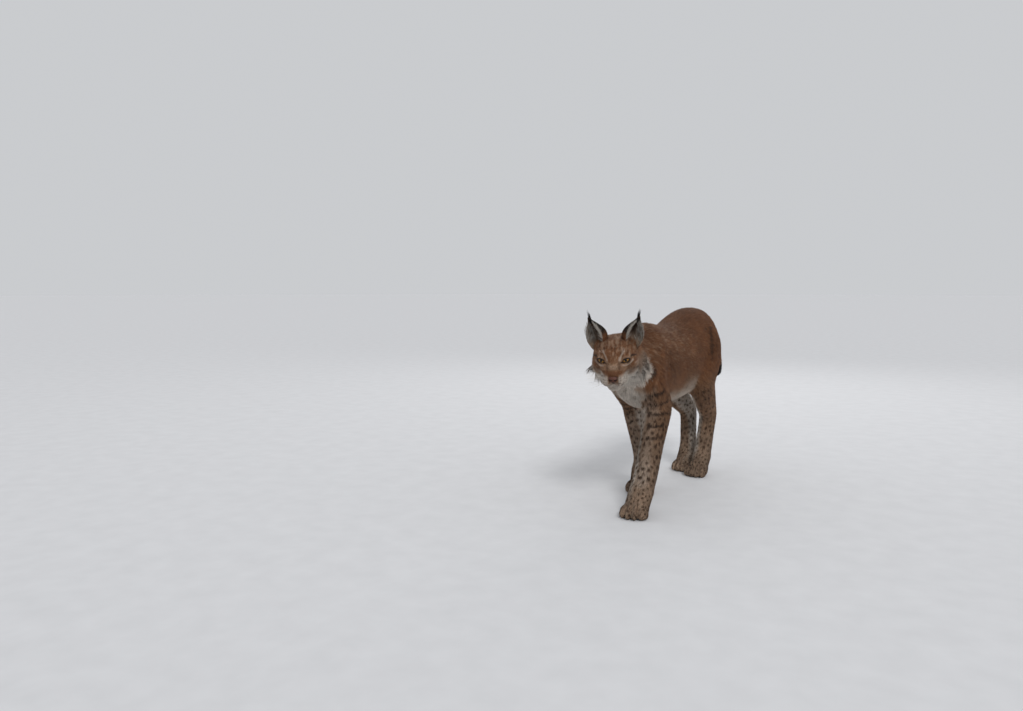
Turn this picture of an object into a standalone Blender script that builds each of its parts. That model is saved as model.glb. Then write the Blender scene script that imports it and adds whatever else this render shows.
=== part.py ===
"""A Eurasian lynx at a slow walk, as a still, life-size model.

It faces -Y, its left side is towards +X and its paws stand on z = 0. Sizes are in metres and are those of
the outside of its winter coat. The whole animal is modelled first, and thin cuts then part it into the
pieces that a person would name. Named sizes come first, then the tools, then one section for each part.
"""

import math

import bmesh
import bpy
import numpy as np
from mathutils import Matrix, Vector

# Driving sizes
WITHERS = 0.552
RUMP = 0.588
BELLY = 0.280
CHEST_HALF_WIDTH = 0.086
PAW_LENGTH = 0.098
FORE_PAW_WIDTH = 0.086
HIND_PAW_WIDTH = 0.078
TAIL_RADIUS = 0.027
EAR_HEIGHT = 0.071
EAR_RADIUS = 0.0300
EAR_WALL = 0.0034
EAR_ROOT = -0.026
EAR_BREADTHS = (0.52, 0.80, 0.98, 1.00, 0.86, 0.60, 0.30, 0.14)
EYE_RADIUS = 0.0145
LID_THICKNESS = 0.0024
EYE_OPENING = (0.0265, 0.0150)
NOSE_HALF_WIDTH = 0.0130
NOSE_HALF_HEIGHT = 0.0098
NOSE_DEPTH = 0.0118
NOSE_FLATNESS = 0.80
TUFT_LENGTH = 0.038
RUFF_LENGTH = 0.050
RUFF_WIDTH = 0.028
RUFF_THICKNESS = 0.0085
RUFF_RISE = 0.20
GAP = 0.0003
SLEEVE_GAP = 0.0005

# The head's own frame: its centre, and how it is turned, in degrees
HEAD_CENTRE = Vector((0.030, -0.396, 0.467))
HEAD_TURN_LEFT = 22.0
HEAD_NOSE_DOWN = 21.0
HEAD_ROLL = -2.0

# How fine the flesh is while it is blended, and the triangles that each form keeps
BODY_VOXEL = 0.0055
HEAD_VOXEL = 0.0022
PAW_VOXEL = 0.0034
BODY_TRIANGLES = 4200
HEAD_TRIANGLES = 2300
PAW_TRIANGLES = 520

# Colours and roughness of the plain solids
COAT = ((0.26, 0.12, 0.055), 0.85)
PALE_COAT = ((0.50, 0.40, 0.32), 0.85)
EYE = ((0.35, 0.25, 0.08), 0.12)
NOSE = ((0.20, 0.09, 0.07), 0.45)

LEFT, RIGHT = 1, -1
UP = Vector((0, 0, 1))
ACROSS = Vector((1, 0, 0))


# Tools that make closed forms

def new_object(name, bm):
    """An object in the scene that holds the bmesh, which is used up."""
    mesh = bpy.data.meshes.new(name)
    bmesh.ops.triangulate(bm, faces=bm.faces)
    bmesh.ops.recalc_face_normals(bm, faces=bm.faces)
    bm.to_mesh(mesh)
    bm.free()
    made = bpy.data.objects.new(name, mesh)
    bpy.context.scene.collection.objects.link(made)
    return made


def between(stations, steps=5):
    """Catmull-Rom values between the stations, so that a few of them give a smooth form."""
    rows = [np.array(s, float) for s in stations]
    rows = [2 * rows[0] - rows[1], *rows, 2 * rows[-1] - rows[-2]]
    found = []
    for a, b, c, d in zip(rows, rows[1:], rows[2:], rows[3:]):
        for t in np.arange(steps) / steps:
            found.append(
                b + 0.5 * t * (c - a + t * (2 * a - 5 * b + 4 * c - d + t * (3 * b - a - 3 * c + d)))
            )
    return [*found, rows[-2]]


def tube(name, stations, sides=20, pinch=0.0, matrix=None, steps=5):
    """A closed form along a line of stations, each (x, y, z, across, over, under).

    Across is the half width towards X. Over and under are the half depths on the two sides of the line:
    above and below a trunk that runs backwards, behind and before a leg that runs down. Pinch narrows
    the over side, as a spine or a shin does.
    """
    rows = between(stations, steps)
    bm = bmesh.new()
    rings = []
    for i, row in enumerate(rows):
        centre = Vector(row[:3])
        along = Vector(rows[min(i + 1, len(rows) - 1)][:3]) - Vector(rows[max(i - 1, 0)][:3])
        along.normalize()
        side = (ACROSS - along * ACROSS.dot(along)).normalized()
        over = side.cross(along)
        across_size, over_size, under_size = (max(value, 0.001) for value in row[3:6])
        ring = []
        for k in range(sides):
            turn = 2 * math.pi * k / sides
            high = math.sin(turn)
            width = across_size * math.cos(turn) * (1 - pinch * max(high, 0))
            depth = over_size * high if high > 0 else under_size * high
            ring.append(bm.verts.new(centre + side * width + over * depth))
        rings.append((ring, centre, along, min(across_size, over_size, under_size)))
    for (first, *_), (second, *_) in zip(rings, rings[1:]):
        for k in range(sides):
            bm.faces.new((first[k], first[(k + 1) % sides], second[(k + 1) % sides], second[k]))
    for (ring, centre, along, size), sign in ((rings[0], -1), (rings[-1], 1)):
        tip = bm.verts.new(centre + along * sign * size * 0.6)
        for k in range(sides):
            bm.faces.new((ring[k], ring[(k + 1) % sides], tip))
    if matrix:
        bm.transform(matrix)
    return new_object(name, bm)


def ball(name, centre, radii, matrix=None, turn=0.0):
    """A closed ellipsoid. Turn leans it about X, in degrees."""
    bm = bmesh.new()
    bmesh.ops.create_uvsphere(bm, u_segments=16, v_segments=9, radius=1.0)
    place = Matrix.Translation(centre) @ Matrix.Rotation(math.radians(turn), 4, "X")
    bm.transform(place @ Matrix.Diagonal((*radii, 1.0)))
    if matrix:
        bm.transform(matrix)
    return new_object(name, bm)


def block(name, low, high, matrix=None):
    """A closed box between two corners."""
    bm = bmesh.new()
    bmesh.ops.create_cube(bm, size=1.0)
    low, high = Vector(low), Vector(high)
    bm.transform(Matrix.Translation((low + high) / 2) @ Matrix.Diagonal((*(high - low), 1.0)))
    if matrix:
        bm.transform(matrix)
    return new_object(name, bm)


def wire(name, points, radius):
    """A closed round wire through the points, for grooves."""
    curve = bpy.data.curves.new(name, "CURVE")
    curve.dimensions = "3D"
    curve.bevel_depth = radius
    curve.bevel_resolution = 1
    curve.use_fill_caps = True
    spline = curve.splines.new("POLY")
    spline.points.add(len(points) - 1)
    for point, place in zip(spline.points, points):
        point.co = (*place, 1.0)
    drawn = bpy.data.objects.new(name, curve)
    bpy.context.scene.collection.objects.link(drawn)
    made = settle(drawn)
    bm = bmesh.new()
    bm.from_mesh(made.data)
    bmesh.ops.remove_doubles(bm, verts=bm.verts, dist=radius * 0.05)
    bmesh.ops.recalc_face_normals(bm, faces=bm.faces)
    bm.to_mesh(made.data)
    bm.free()
    return made


# Tools that join, blend and cut

def settle(obj):
    """Puts the evaluated mesh of an object in its place, with no modifier left."""
    graph = bpy.context.evaluated_depsgraph_get()
    mesh = bpy.data.meshes.new_from_object(obj.evaluated_get(graph))
    made = bpy.data.objects.new(obj.name + ".settled", mesh)
    made.matrix_world = obj.matrix_world
    bpy.context.scene.collection.objects.link(made)
    name = obj.name
    bpy.data.objects.remove(obj)
    made.name = name
    return made


def remove(*objects):
    for obj in objects:
        bpy.data.objects.remove(obj)


def copy_of(obj, name):
    made = obj.copy()
    made.data = obj.data.copy()
    made.name = name
    bpy.context.scene.collection.objects.link(made)
    return made


def blend(name, pieces, voxel, rounds):
    """One closed skin round the pieces: a voxel remesh joins them, and smoothing softens the joins."""
    bm = bmesh.new()
    for piece in pieces:
        bm.from_mesh(piece.data)
    joined = new_object(name, bm)
    remove(*pieces)
    remesh = joined.modifiers.new("Join", "REMESH")
    remesh.mode = "VOXEL"
    remesh.voxel_size = voxel
    smooth = joined.modifiers.new("Soften", "SMOOTH")
    smooth.factor = 0.5
    smooth.iterations = rounds
    return largest(settle(joined))


def coarsen(obj, triangles):
    """The same form with about this many triangles."""
    decimate = obj.modifiers.new("Coarsen", "DECIMATE")
    obj.data.calc_loop_triangles()
    decimate.ratio = min(1.0, triangles / len(obj.data.loop_triangles))
    decimate.use_collapse_triangulate = True
    return settle(obj)


def grown(obj, name, by):
    """A copy that is larger all over, to keep a gap round a neighbour."""
    made = copy_of(obj, name)
    swell = made.modifiers.new("Grow", "DISPLACE")
    swell.mid_level = 0.0
    swell.strength = by
    return settle(made)


def combine(obj, tool, operation):
    """Joins or cuts obj with one object or with every object of a collection, which are then removed.

    The exact solver leaves open edges where a wall of an ear or a lid crosses itself, so the solver for
    closed meshes is used for every joint and cut.
    """
    change = obj.modifiers.new(operation.title(), "BOOLEAN")
    change.operation = operation
    change.solver = "MANIFOLD"
    tools = [tool]
    if isinstance(tool, bpy.types.Collection):
        change.operand_type = "COLLECTION"
        change.collection = tool
        tools = list(tool.objects)
    else:
        change.object = tool
    made = settle(obj)
    remove(*tools)
    if isinstance(tool, bpy.types.Collection):
        bpy.data.collections.remove(tool)
    return made


def largest(obj):
    """Keeps only the largest closed surface of a mesh."""
    bm = bmesh.new()
    bm.from_mesh(obj.data)
    left = set(bm.faces)
    groups = []
    while left:
        group, front = set(), [left.pop()]
        while front:
            face = front.pop()
            group.add(face)
            for edge in face.edges:
                for other in edge.link_faces:
                    if other in left:
                        left.remove(other)
                        front.append(other)
        groups.append(group)
    groups.sort(key=lambda g: sum(face.calc_area() for face in g))
    loose = [face for group in groups[:-1] for face in group]
    bmesh.ops.delete(bm, geom=loose, context="FACES")
    bm.to_mesh(obj.data)
    bm.free()
    return obj


def collected(name, objects):
    """A collection that holds only these objects, for one Boolean."""
    made = bpy.data.collections.new(name)
    bpy.context.scene.collection.children.link(made)
    for obj in objects:
        for home in obj.users_collection:
            home.objects.unlink(obj)
        made.objects.link(obj)
    return made


def part_off(body, name, sleeve):
    """Cuts the flesh inside a closed sleeve off the body. Returns the rest of the body, and the piece."""
    wider = grown(sleeve, "wider", SLEEVE_GAP)
    piece = largest(combine(copy_of(body, name), sleeve, "INTERSECT"))
    return largest(combine(body, wider, "DIFFERENCE")), piece


def finish(obj, name, look):
    """Gives a node its name, its own plain material and smooth shading."""
    obj.name = name
    colour, roughness = look
    material = bpy.data.materials.new(name)
    material.use_nodes = True
    shader = material.node_tree.nodes["Principled BSDF"]
    shader.inputs["Base Color"].default_value = (*colour, 1.0)
    shader.inputs["Roughness"].default_value = roughness
    obj.data.materials.clear()
    obj.data.materials.append(material)
    obj.data.shade_smooth()
    return obj


# Trunk, neck and tail

def trunk():
    stations = (
        (0.016, -0.315, 0.410, 0.046, 0.066, 0.060),
        (0.017, -0.280, 0.412, 0.066, 0.092, 0.092),
        (0.018, -0.225, 0.415, 0.078, WITHERS - 0.425, 0.122),
        (0.018, -0.165, 0.415, CHEST_HALF_WIDTH, WITHERS - 0.415, 0.132),
        (0.015, -0.095, 0.415, CHEST_HALF_WIDTH + 0.002, WITHERS - 0.424, 0.136),
        (0.010, -0.020, 0.415, CHEST_HALF_WIDTH + 0.008, WITHERS - 0.430, 0.415 - BELLY),
        (0.005, 0.060, 0.420, CHEST_HALF_WIDTH + 0.014, WITHERS - 0.428, 0.140),
        (0.001, 0.145, 0.432, CHEST_HALF_WIDTH + 0.014, RUMP - 0.450, 0.140),
        (0.000, 0.230, 0.454, CHEST_HALF_WIDTH + 0.012, RUMP - 0.454, 0.118),
        (0.000, 0.305, 0.466, 0.092, RUMP - 0.468, 0.102),
        (0.000, 0.357, 0.470, 0.076, 0.103, 0.092),
        (0.000, 0.390, 0.476, 0.050, 0.073, 0.066),
    )
    return tube("trunk", stations, sides=28, pinch=0.12)


def neck():
    stations = (
        (0.028, -0.380, 0.458, 0.054, 0.056, 0.055),
        (0.022, -0.345, 0.452, 0.063, 0.075, 0.067),
        (0.018, -0.302, 0.443, 0.068, 0.089, 0.072),
        (0.016, -0.255, 0.434, 0.072, 0.102, 0.078),
        (0.016, -0.205, 0.428, 0.074, 0.112, 0.088),
    )
    return tube("neck", stations, sides=24, pinch=0.10)


def tail():
    stations = (
        (0.000, 0.330, 0.526, 0.040, 0.042, 0.042),
        (0.004, 0.384, 0.520, 0.031, 0.035, 0.034),
        (0.016, 0.420, 0.484, TAIL_RADIUS, 0.028, 0.028),
        (0.028, 0.436, 0.432, TAIL_RADIUS, 0.028, 0.028),
        (0.036, 0.438, 0.380, TAIL_RADIUS, 0.029, 0.029),
        (0.040, 0.434, 0.335, 0.024, 0.024, 0.024),
    )
    return tube("tail", stations, sides=16)


# Legs. Each leg is a line of joints, from the shoulder or hip down to the middle of the paw.

class Leg:
    """The named joints of one leg, on its own side of the body."""

    def __init__(self, name, side, joints, paw_turn):
        self.name = name
        self.side = side
        self.joints = [Vector(joint) for joint in joints]
        self.paw_turn = paw_turn
        self.is_fore = name.startswith("fore")


FORE_LEFT = Leg(
    "foreleg_left", LEFT,
    ((0.066, -0.185, 0.470), (0.082, -0.252, 0.392), (0.080, -0.198, 0.300),
     (0.082, -0.292, 0.106), (0.076, -0.338, 0.026)),
    6,
)
FORE_RIGHT = Leg(
    "foreleg_right", RIGHT,
    ((-0.032, -0.175, 0.470), (-0.044, -0.215, 0.385), (-0.040, -0.112, 0.302),
     (-0.031, -0.040, 0.106), (-0.030, -0.066, 0.026)),
    4,
)
HIND_LEFT = Leg(
    "hindleg_left", LEFT,
    ((0.052, 0.270, 0.480), (0.074, 0.165, 0.350), (0.056, 0.318, 0.208),
     (0.049, 0.282, 0.070), (0.048, 0.245, 0.026)),
    -4,
)
HIND_RIGHT = Leg(
    "hindleg_right", RIGHT,
    ((-0.050, 0.270, 0.480), (-0.070, 0.175, 0.342), (-0.032, 0.358, 0.214),
     (-0.024, 0.336, 0.070), (-0.023, 0.301, 0.026)),
    4,
)
LEGS = (FORE_LEFT, FORE_RIGHT, HIND_LEFT, HIND_RIGHT)


def fore_leg(leg):
    """Stations of the shoulder blade and upper arm, then of the forearm, wrist and pastern."""
    blade, shoulder, elbow, wrist, paw = leg.joints
    top = Vector((blade.x - 0.012 * leg.side, blade.y + 0.012, WITHERS - 0.030))
    upper = (
        (*top, 0.020, 0.046, 0.040),
        (*blade, 0.032, 0.060, 0.054),
        (*blade.lerp(shoulder, 0.55), 0.036, 0.064, 0.056),
        (*shoulder, 0.037, 0.062, 0.048),
        (*shoulder.lerp(elbow, 0.55), 0.038, 0.058, 0.050),
        (*elbow, 0.038, 0.048, 0.048),
    )
    lower = (
        (*elbow.lerp(shoulder, 0.45), 0.037, 0.052, 0.047),
        (*elbow, 0.040, 0.052, 0.047),
        (*elbow.lerp(wrist, 0.30), 0.0395, 0.044, 0.042),
        (*elbow.lerp(wrist, 0.62), 0.0370, 0.037, 0.037),
        (*wrist, 0.0365, 0.035, 0.036),
        (*wrist.lerp(paw, 0.50), 0.0370, 0.034, 0.035),
        (*paw, 0.0370, 0.030, 0.030),
    )
    return [upper, lower]


def hind_leg(leg):
    """Stations of the thigh, the gaskin down to the hock, and the metatarsus."""
    hip, knee, hock, pastern, paw = leg.joints
    back = Vector((0, 1, 0))
    thigh = (
        (*(hip + UP * 0.030), 0.040, 0.072, 0.062),
        (*hip.lerp(knee, 0.10), 0.053, 0.109, 0.076),
        (*(hip.lerp(knee, 0.45) + back * 0.014), 0.051, 0.112, 0.070),
        (*(hip.lerp(knee, 0.80) + back * 0.016), 0.045, 0.097, 0.058),
        (*(knee + back * 0.014), 0.038, 0.070, 0.048),
    )
    gaskin = (
        (*knee.lerp(hip, 0.25), 0.039, 0.080, 0.045),
        (*knee.lerp(hock, 0.08), 0.041, 0.084, 0.052),
        (*knee.lerp(hock, 0.40), 0.039, 0.069, 0.051),
        (*knee.lerp(hock, 0.75), 0.035, 0.042, 0.045),
        (*hock, 0.031, 0.033, 0.037),
    )
    metatarsus = (
        (*(hock + Vector((0, 0.006, 0.022))), 0.024, 0.018, 0.026),
        (*hock, 0.031, 0.030, 0.037),
        (*hock.lerp(pastern, 0.45), 0.031, 0.029, 0.034),
        (*pastern, 0.0320, 0.030, 0.033),
        (*paw, 0.0330, 0.026, 0.028),
    )
    return [thigh, gaskin, metatarsus]


def leg_flesh(leg):
    """The closed forms of one leg, from the top down."""
    forms = fore_leg(leg) if leg.is_fore else hind_leg(leg)
    return [tube(leg.name, stations) for stations in forms]


def paw_flesh(leg):
    """A broad paw in its own frame: a pad and four spread toes, nose-ward along -Y, over the floor."""
    width = FORE_PAW_WIDTH if leg.is_fore else HIND_PAW_WIDTH
    heel = leg.joints[-1]
    place = Matrix.Translation((heel.x, heel.y, 0)) @ Matrix.Rotation(math.radians(leg.paw_turn), 4, "Z")
    pieces = [
        ball("pad", (0, 0.004, 0.020), (0.41 * width, 0.43 * PAW_LENGTH, 0.034), place),
        ball("instep", (0, -0.008, 0.036), (0.33 * width, 0.30 * PAW_LENGTH, 0.026), place, 14),
    ]
    for spread in (-1.5, -0.5, 0.5, 1.5):
        reach = 0.46 - 0.045 * abs(spread) ** 2
        toe = Vector((spread * 0.235 * width, -reach * PAW_LENGTH + 0.010, 0.015))
        pieces.append(ball("toe", toe, (0.138 * width, 0.026, 0.020), place, 12))
    return pieces


# Head, in its own frame: the nose points to -Y, and the origin lies between the ears and the jaw

HEAD = (
    Matrix.Translation(HEAD_CENTRE)
    @ Matrix.Rotation(math.radians(HEAD_TURN_LEFT), 4, "Z")
    @ Matrix.Rotation(math.radians(HEAD_NOSE_DOWN), 4, "X")
    @ Matrix.Rotation(math.radians(HEAD_ROLL), 4, "Y")
)
EYE_PLACE = Vector((0.0300, -0.0445, 0.0100))
EYE_GAZE = Vector((0.26, -0.96, 0.04)).normalized()
EYE_SLANT = 15.0
EAR_PLACE = Vector((0.0500, 0.020, 0.036))
NOSE_PLACE = Vector((0, -0.0970, -0.0260))


def mirrored(vector, side):
    return Vector((vector[0] * side, vector[1], vector[2]))


def skull_flesh():
    face = (
        (0, -0.091, -0.030, 0.020, 0.010, 0.026),
        (0, -0.080, -0.023, 0.027, 0.015, 0.038),
        (0, -0.064, -0.013, 0.035, 0.022, 0.050),
        (0, -0.048, -0.005, 0.044, 0.032, 0.056),
        (0, -0.030, 0.000, 0.053, 0.0425, 0.059),
        (0, -0.005, 0.000, 0.061, 0.049, 0.060),
        (0, 0.025, 0.000, 0.063, 0.047, 0.060),
        (0, 0.060, 0.000, 0.057, 0.040, 0.058),
        (0, 0.095, -0.004, 0.044, 0.028, 0.046),
    )
    bridge = (
        (0, -0.095, -0.022, 0.0120, 0.009, 0.014),
        (0, -0.082, -0.012, 0.0140, 0.012, 0.018),
        (0, -0.060, 0.003, 0.0165, 0.013, 0.020),
        (0, -0.034, 0.020, 0.0200, 0.014, 0.020),
    )
    jaw = (
        (0, -0.082, -0.0610, 0.0170, 0.014, 0.0125),
        (0, -0.062, -0.0585, 0.022, 0.017, 0.0155),
        (0, -0.034, -0.0535, 0.032, 0.021, 0.0195),
        (0, 0.000, -0.0465, 0.040, 0.025, 0.0235),
    )
    pieces = [tube("face", face, sides=28, matrix=HEAD)]
    pieces.append(tube("bridge", bridge, matrix=HEAD))
    pieces.append(tube("jaw", jaw, matrix=HEAD))
    for side in (LEFT, RIGHT):
        pieces.append(ball("whisker_pad", (side * 0.0150, -0.0800, -0.0385), (0.0180, 0.0215, 0.0165), HEAD))
        pieces.append(ball("lip", (side * 0.0230, -0.0600, -0.0430), (0.0170, 0.0260, 0.0170), HEAD))
        pieces.append(ball("cheek_bone", (side * 0.0360, -0.0100, -0.0160), (0.0305, 0.0430, 0.0340), HEAD))
        pieces.append(ball("cheek", (side * 0.0385, 0.0080, -0.0320), (0.0305, 0.0480, 0.0360), HEAD))
        pieces.append(ball("brow", (side * 0.0280, -0.0370, 0.0180), (0.0200, 0.0150, 0.0120), HEAD, 30))
        pieces.append(ball("ear_root", (side * 0.0400, 0.0320, 0.0140), (0.0240, 0.0300, 0.0260), HEAD))
    return pieces


def facing(gaze, slant):
    """A frame whose Z runs along the gaze and whose X runs across, tilted by the slant in degrees."""
    across = UP.cross(gaze).normalized()
    upward = gaze.cross(across)
    turned = Matrix((across, upward, gaze)).transposed().to_4x4()
    return turned @ Matrix.Rotation(math.radians(slant), 4, "Z")


def almond(name, size, depth, matrix):
    """A closed prism with the outline of an eye opening, pointed at both corners."""
    half_width, half_height = size[0] / 2, size[1] / 2
    count = 9
    outline = []
    for sign in (1, -1):
        for k in range(count):
            t = -1 + 2 * k / count
            outline.append((t * half_width * sign, sign * half_height * (1 - t * t) ** 0.8))
    bm = bmesh.new()
    front = [bm.verts.new((x, y, depth)) for x, y in outline]
    back = [bm.verts.new((x, y, 0)) for x, y in outline]
    bm.faces.new(front)
    bm.faces.new(back)
    for k in range(len(outline)):
        following = (k + 1) % len(outline)
        bm.faces.new((front[k], front[following], back[following], back[k]))
    bm.transform(matrix)
    return new_object(name, bm)


def open_eyes(head):
    """Raises a lid over each eyeball, hollows the socket and opens the lids. Returns head and eyes."""
    eyes = []
    lids = []
    for side in (LEFT, RIGHT):
        centre = mirrored(EYE_PLACE, side)
        thick = EYE_RADIUS + LID_THICKNESS
        lids.append(ball("lid", centre, (thick, thick, thick), HEAD))
    head = combine(head, collected("lids", lids), "UNION")
    for side, name in ((LEFT, "eye_left"), (RIGHT, "eye_right")):
        centre = mirrored(EYE_PLACE, side)
        socket = EYE_RADIUS + GAP
        head = combine(head, ball("socket", centre, (socket, socket, socket), HEAD), "DIFFERENCE")
        place = HEAD @ Matrix.Translation(centre) @ facing(mirrored(EYE_GAZE, side), side * EYE_SLANT)
        opening = almond("opening", EYE_OPENING, 3 * EYE_RADIUS, place)
        head = combine(head, opening, "DIFFERENCE")
        eyes.append(finish(ball(name, centre, (EYE_RADIUS,) * 3, HEAD), name, EYE))
    return head, eyes


def on_surface(obj, point, lift=0.0):
    """The nearest point of a mesh to a point in the head's frame, lifted along the normal, and the normal."""
    _, place, normal, _ = obj.closest_point_on_mesh(HEAD @ Vector(point))
    return place + normal * lift, normal


MOUTH = (
    (0.000, -0.1010, -0.0420), (0.006, -0.1000, -0.0480), (0.014, -0.0950, -0.0525),
    (0.023, -0.0840, -0.0540), (0.030, -0.0690, -0.0520), (0.035, -0.0540, -0.0480),
)
MOUTH_GROOVE = 0.0015


def cut_mouth(head):
    """The line of the mouth, and the cleft from it up to the nose."""
    for side in (LEFT, RIGHT):
        points = [on_surface(head, mirrored(p, side), -0.0002)[0] for p in between(MOUTH, 3)]
        head = combine(head, wire("mouth", points, MOUTH_GROOVE), "DIFFERENCE")
    return head


# Ears

def ear_frame(side):
    """The frame of one ear: Z to the tip, -Y where the cup opens."""
    lean_out, lean_back, open_out = 17, 5, 26
    return (
        HEAD
        @ Matrix.Translation(mirrored(EAR_PLACE, side))
        @ Matrix.Rotation(math.radians(side * lean_out), 4, "Y")
        @ Matrix.Rotation(math.radians(-lean_back), 4, "X")
        @ Matrix.Rotation(math.radians(side * open_out), 4, "Z")
    )


def ear_cup(side):
    """An open cup of one thin wall, narrow at the root, broad above it and drawn out to a point."""
    columns = 10
    bm = bmesh.new()
    grid = []
    for i, breadth in enumerate(EAR_BREADTHS):
        share = i / (len(EAR_BREADTHS) - 1)
        height = EAR_ROOT + (EAR_HEIGHT - EAR_ROOT) * share
        radius = EAR_RADIUS * breadth
        reach = math.radians(128 - 34 * share)
        line = []
        for k in range(columns):
            turn = reach * (2 * k / (columns - 1) - 1)
            depth = radius * (0.78 + 0.22 * (1 - share))
            bow = 0.007 * math.sin(math.pi * share)
            line.append(bm.verts.new((radius * math.sin(turn), depth * math.cos(turn) + bow, height)))
        grid.append(line)
    for low, high in zip(grid, grid[1:]):
        for k in range(columns - 1):
            bm.faces.new((low[k], low[k + 1], high[k + 1], high[k]))
    cup = new_object("ear", bm)
    wall = cup.modifiers.new("Wall", "SOLIDIFY")
    wall.thickness = EAR_WALL
    wall.offset = 0.0
    cup = settle(cup)
    cup.data.transform(ear_frame(side))
    return cup


def lock(name, root, lie, face, length, width, thickness, bend):
    """A flat, tapered lock: it leaves its root along the lie, and bends as it goes."""
    lie = lie.normalized()
    sideways = face.cross(lie).normalized()
    bm = bmesh.new()
    rings = []
    for share, size in ((0.0, 0.80), (0.34, 1.0), (0.70, 0.66)):
        centre = root + lie * (length * share) + bend * (share * share)
        flat = (face - lie * face.dot(lie)).normalized()
        rings.append([
            bm.verts.new(centre + sideways * (width / 2 * size)),
            bm.verts.new(centre + flat * (thickness / 2 * size)),
            bm.verts.new(centre - sideways * (width / 2 * size)),
            bm.verts.new(centre - flat * (thickness / 2 * size)),
        ])
    tip = bm.verts.new(root + lie * length + bend)
    bm.faces.new(rings[0])
    for first, second in zip(rings, rings[1:]):
        for k in range(4):
            bm.faces.new((first[k], first[(k + 1) % 4], second[(k + 1) % 4], second[k]))
    for k in range(4):
        bm.faces.new((rings[-1][k], rings[-1][(k + 1) % 4], tip))
    return new_object(name, bm)


TUFT_LOCKS = 5


def tuft_locks(side):
    """The brush of long black hair that stands on the tip of the ear."""
    frame = ear_frame(side)
    turn = frame.to_3x3()
    locks = []
    for k in range(TUFT_LOCKS):
        spread = k / (TUFT_LOCKS - 1) - 0.5
        root = frame @ Vector((spread * 0.0030, 0.0035 + 0.002 * (k % 2), EAR_HEIGHT - 0.009))
        lie = turn @ Vector((spread * 0.30, 0.10 + 0.10 * (k % 2), 1.0))
        bend = turn @ Vector((0.004 * spread, 0.008, 0)) + UP * 0.001
        length = TUFT_LENGTH * (1.0 - 0.45 * abs(spread))
        locks.append(lock("tuft", root, lie, turn @ Vector((0, 1, 0)), length, 0.0075, 0.0042, bend))
    return locks


def ear(side, head):
    """One ear with its tuft, cut to stand on the head."""
    name = "ear_left" if side == LEFT else "ear_right"
    made = combine(ear_cup(side), collected("tuft_locks", tuft_locks(side)), "UNION")
    made = largest(combine(made, grown(head, "head_with_gap", GAP), "DIFFERENCE"))
    return finish(made, name, COAT)


# Ruff: rows of locks from below each ear round the cheek to the throat

RUFF_ROOTS = (
    (0.0655, 0.0180, -0.0170), (0.0660, 0.0140, -0.0280), (0.0630, 0.0100, -0.0420),
    (0.0500, 0.0040, -0.0580), (0.0290, -0.0040, -0.0700), (0.0090, -0.0120, -0.0740),
)
RUFF_LIES = (
    (0.55, 0.75, -0.35), (0.62, 0.48, -0.62), (0.48, 0.30, -0.82),
    (0.26, 0.26, -0.93), (0.08, 0.34, -0.94), (0.00, 0.50, -0.86),
)
RUFF_SIZES = (0.60, 0.82, 1.00, 0.98, 0.70, 0.50)
RUFF_ROWS = ((0.000, 0.78), (0.024, 1.00))
RUFF_PER_ROW = 9


def ruff_locks(head):
    locks = []
    for side in (LEFT, RIGHT):
        for row, (set_back, row_size) in enumerate(RUFF_ROWS):
            roots = between(RUFF_ROOTS, 8)
            lies = between(RUFF_LIES, 8)
            sizes = between([(size,) for size in RUFF_SIZES], 8)
            for k in range(RUFF_PER_ROW):
                place = (k + 0.5 * (row % 2) + 0.25) / RUFF_PER_ROW * (len(roots) - 1)
                pick = min(int(round(place)), len(roots) - 1)
                wave = math.sin(2.4 * k + 1.7 * row)
                point = Vector(roots[pick]) + Vector((0, set_back, 0.004 * wave))
                root, normal = on_surface(head, mirrored(point, side), -0.007)
                lie = HEAD.to_3x3() @ mirrored(Vector(lies[pick]) + Vector((0.05 * wave, 0.07 * wave, 0)), side)
                lie = (lie - normal * normal.dot(lie)).normalized() + normal * RUFF_RISE
                length = RUFF_LENGTH * sizes[pick][0] * row_size * (1 + 0.10 * wave)
                bend = (HEAD.to_3x3() @ Vector((0, 0.04, -0.12))) * length
                locks.append(lock("ruff", root, lie, normal, length, RUFF_WIDTH, RUFF_THICKNESS, bend))
    return locks


# Nose

def nose(head):
    """The bare nose leather, broad above and narrow below, with two comma-shaped nostrils."""
    bm = bmesh.new()
    bmesh.ops.create_uvsphere(bm, u_segments=14, v_segments=9, radius=1.0)
    for vertex in bm.verts:
        x, y, z = vertex.co
        breadth = NOSE_HALF_WIDTH * (1.0 + 0.34 * z)
        depth = NOSE_DEPTH * max(y, -NOSE_FLATNESS)
        vertex.co = (x * breadth, depth, z * NOSE_HALF_HEIGHT + 0.0015 * (1 - x * x))
    bm.transform(HEAD @ Matrix.Translation(NOSE_PLACE) @ Matrix.Rotation(math.radians(-12), 4, "X"))
    made = new_object("nose", bm)
    for side in (LEFT, RIGHT):
        path = ((0.0048, -0.0115, -0.0034), (0.0078, -0.0098, -0.0022), (0.0108, -0.0070, 0.0004),
                (0.0130, -0.0030, 0.0018))
        points = [HEAD @ (NOSE_PLACE + mirrored(p, side)) for p in path]
        made = combine(made, wire("nostril", points, 0.0017), "DIFFERENCE")
    made = largest(combine(made, grown(head, "head_with_gap", GAP), "DIFFERENCE"))
    return finish(made, "nose", NOSE)


# Parting cuts

def slab_below(joint, toward, half_width, name):
    """A box beyond a joint, square to the way the leg runs there."""
    along = (toward - joint).normalized()
    side = (ACROSS - along * ACROSS.dot(along)).normalized()
    turned = Matrix((side, side.cross(along), -along)).transposed().to_4x4()
    low = (-half_width, -half_width, -0.16)
    high = (half_width, half_width, 0)
    return block(name, low, high, Matrix.Translation(joint) @ turned)


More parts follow.
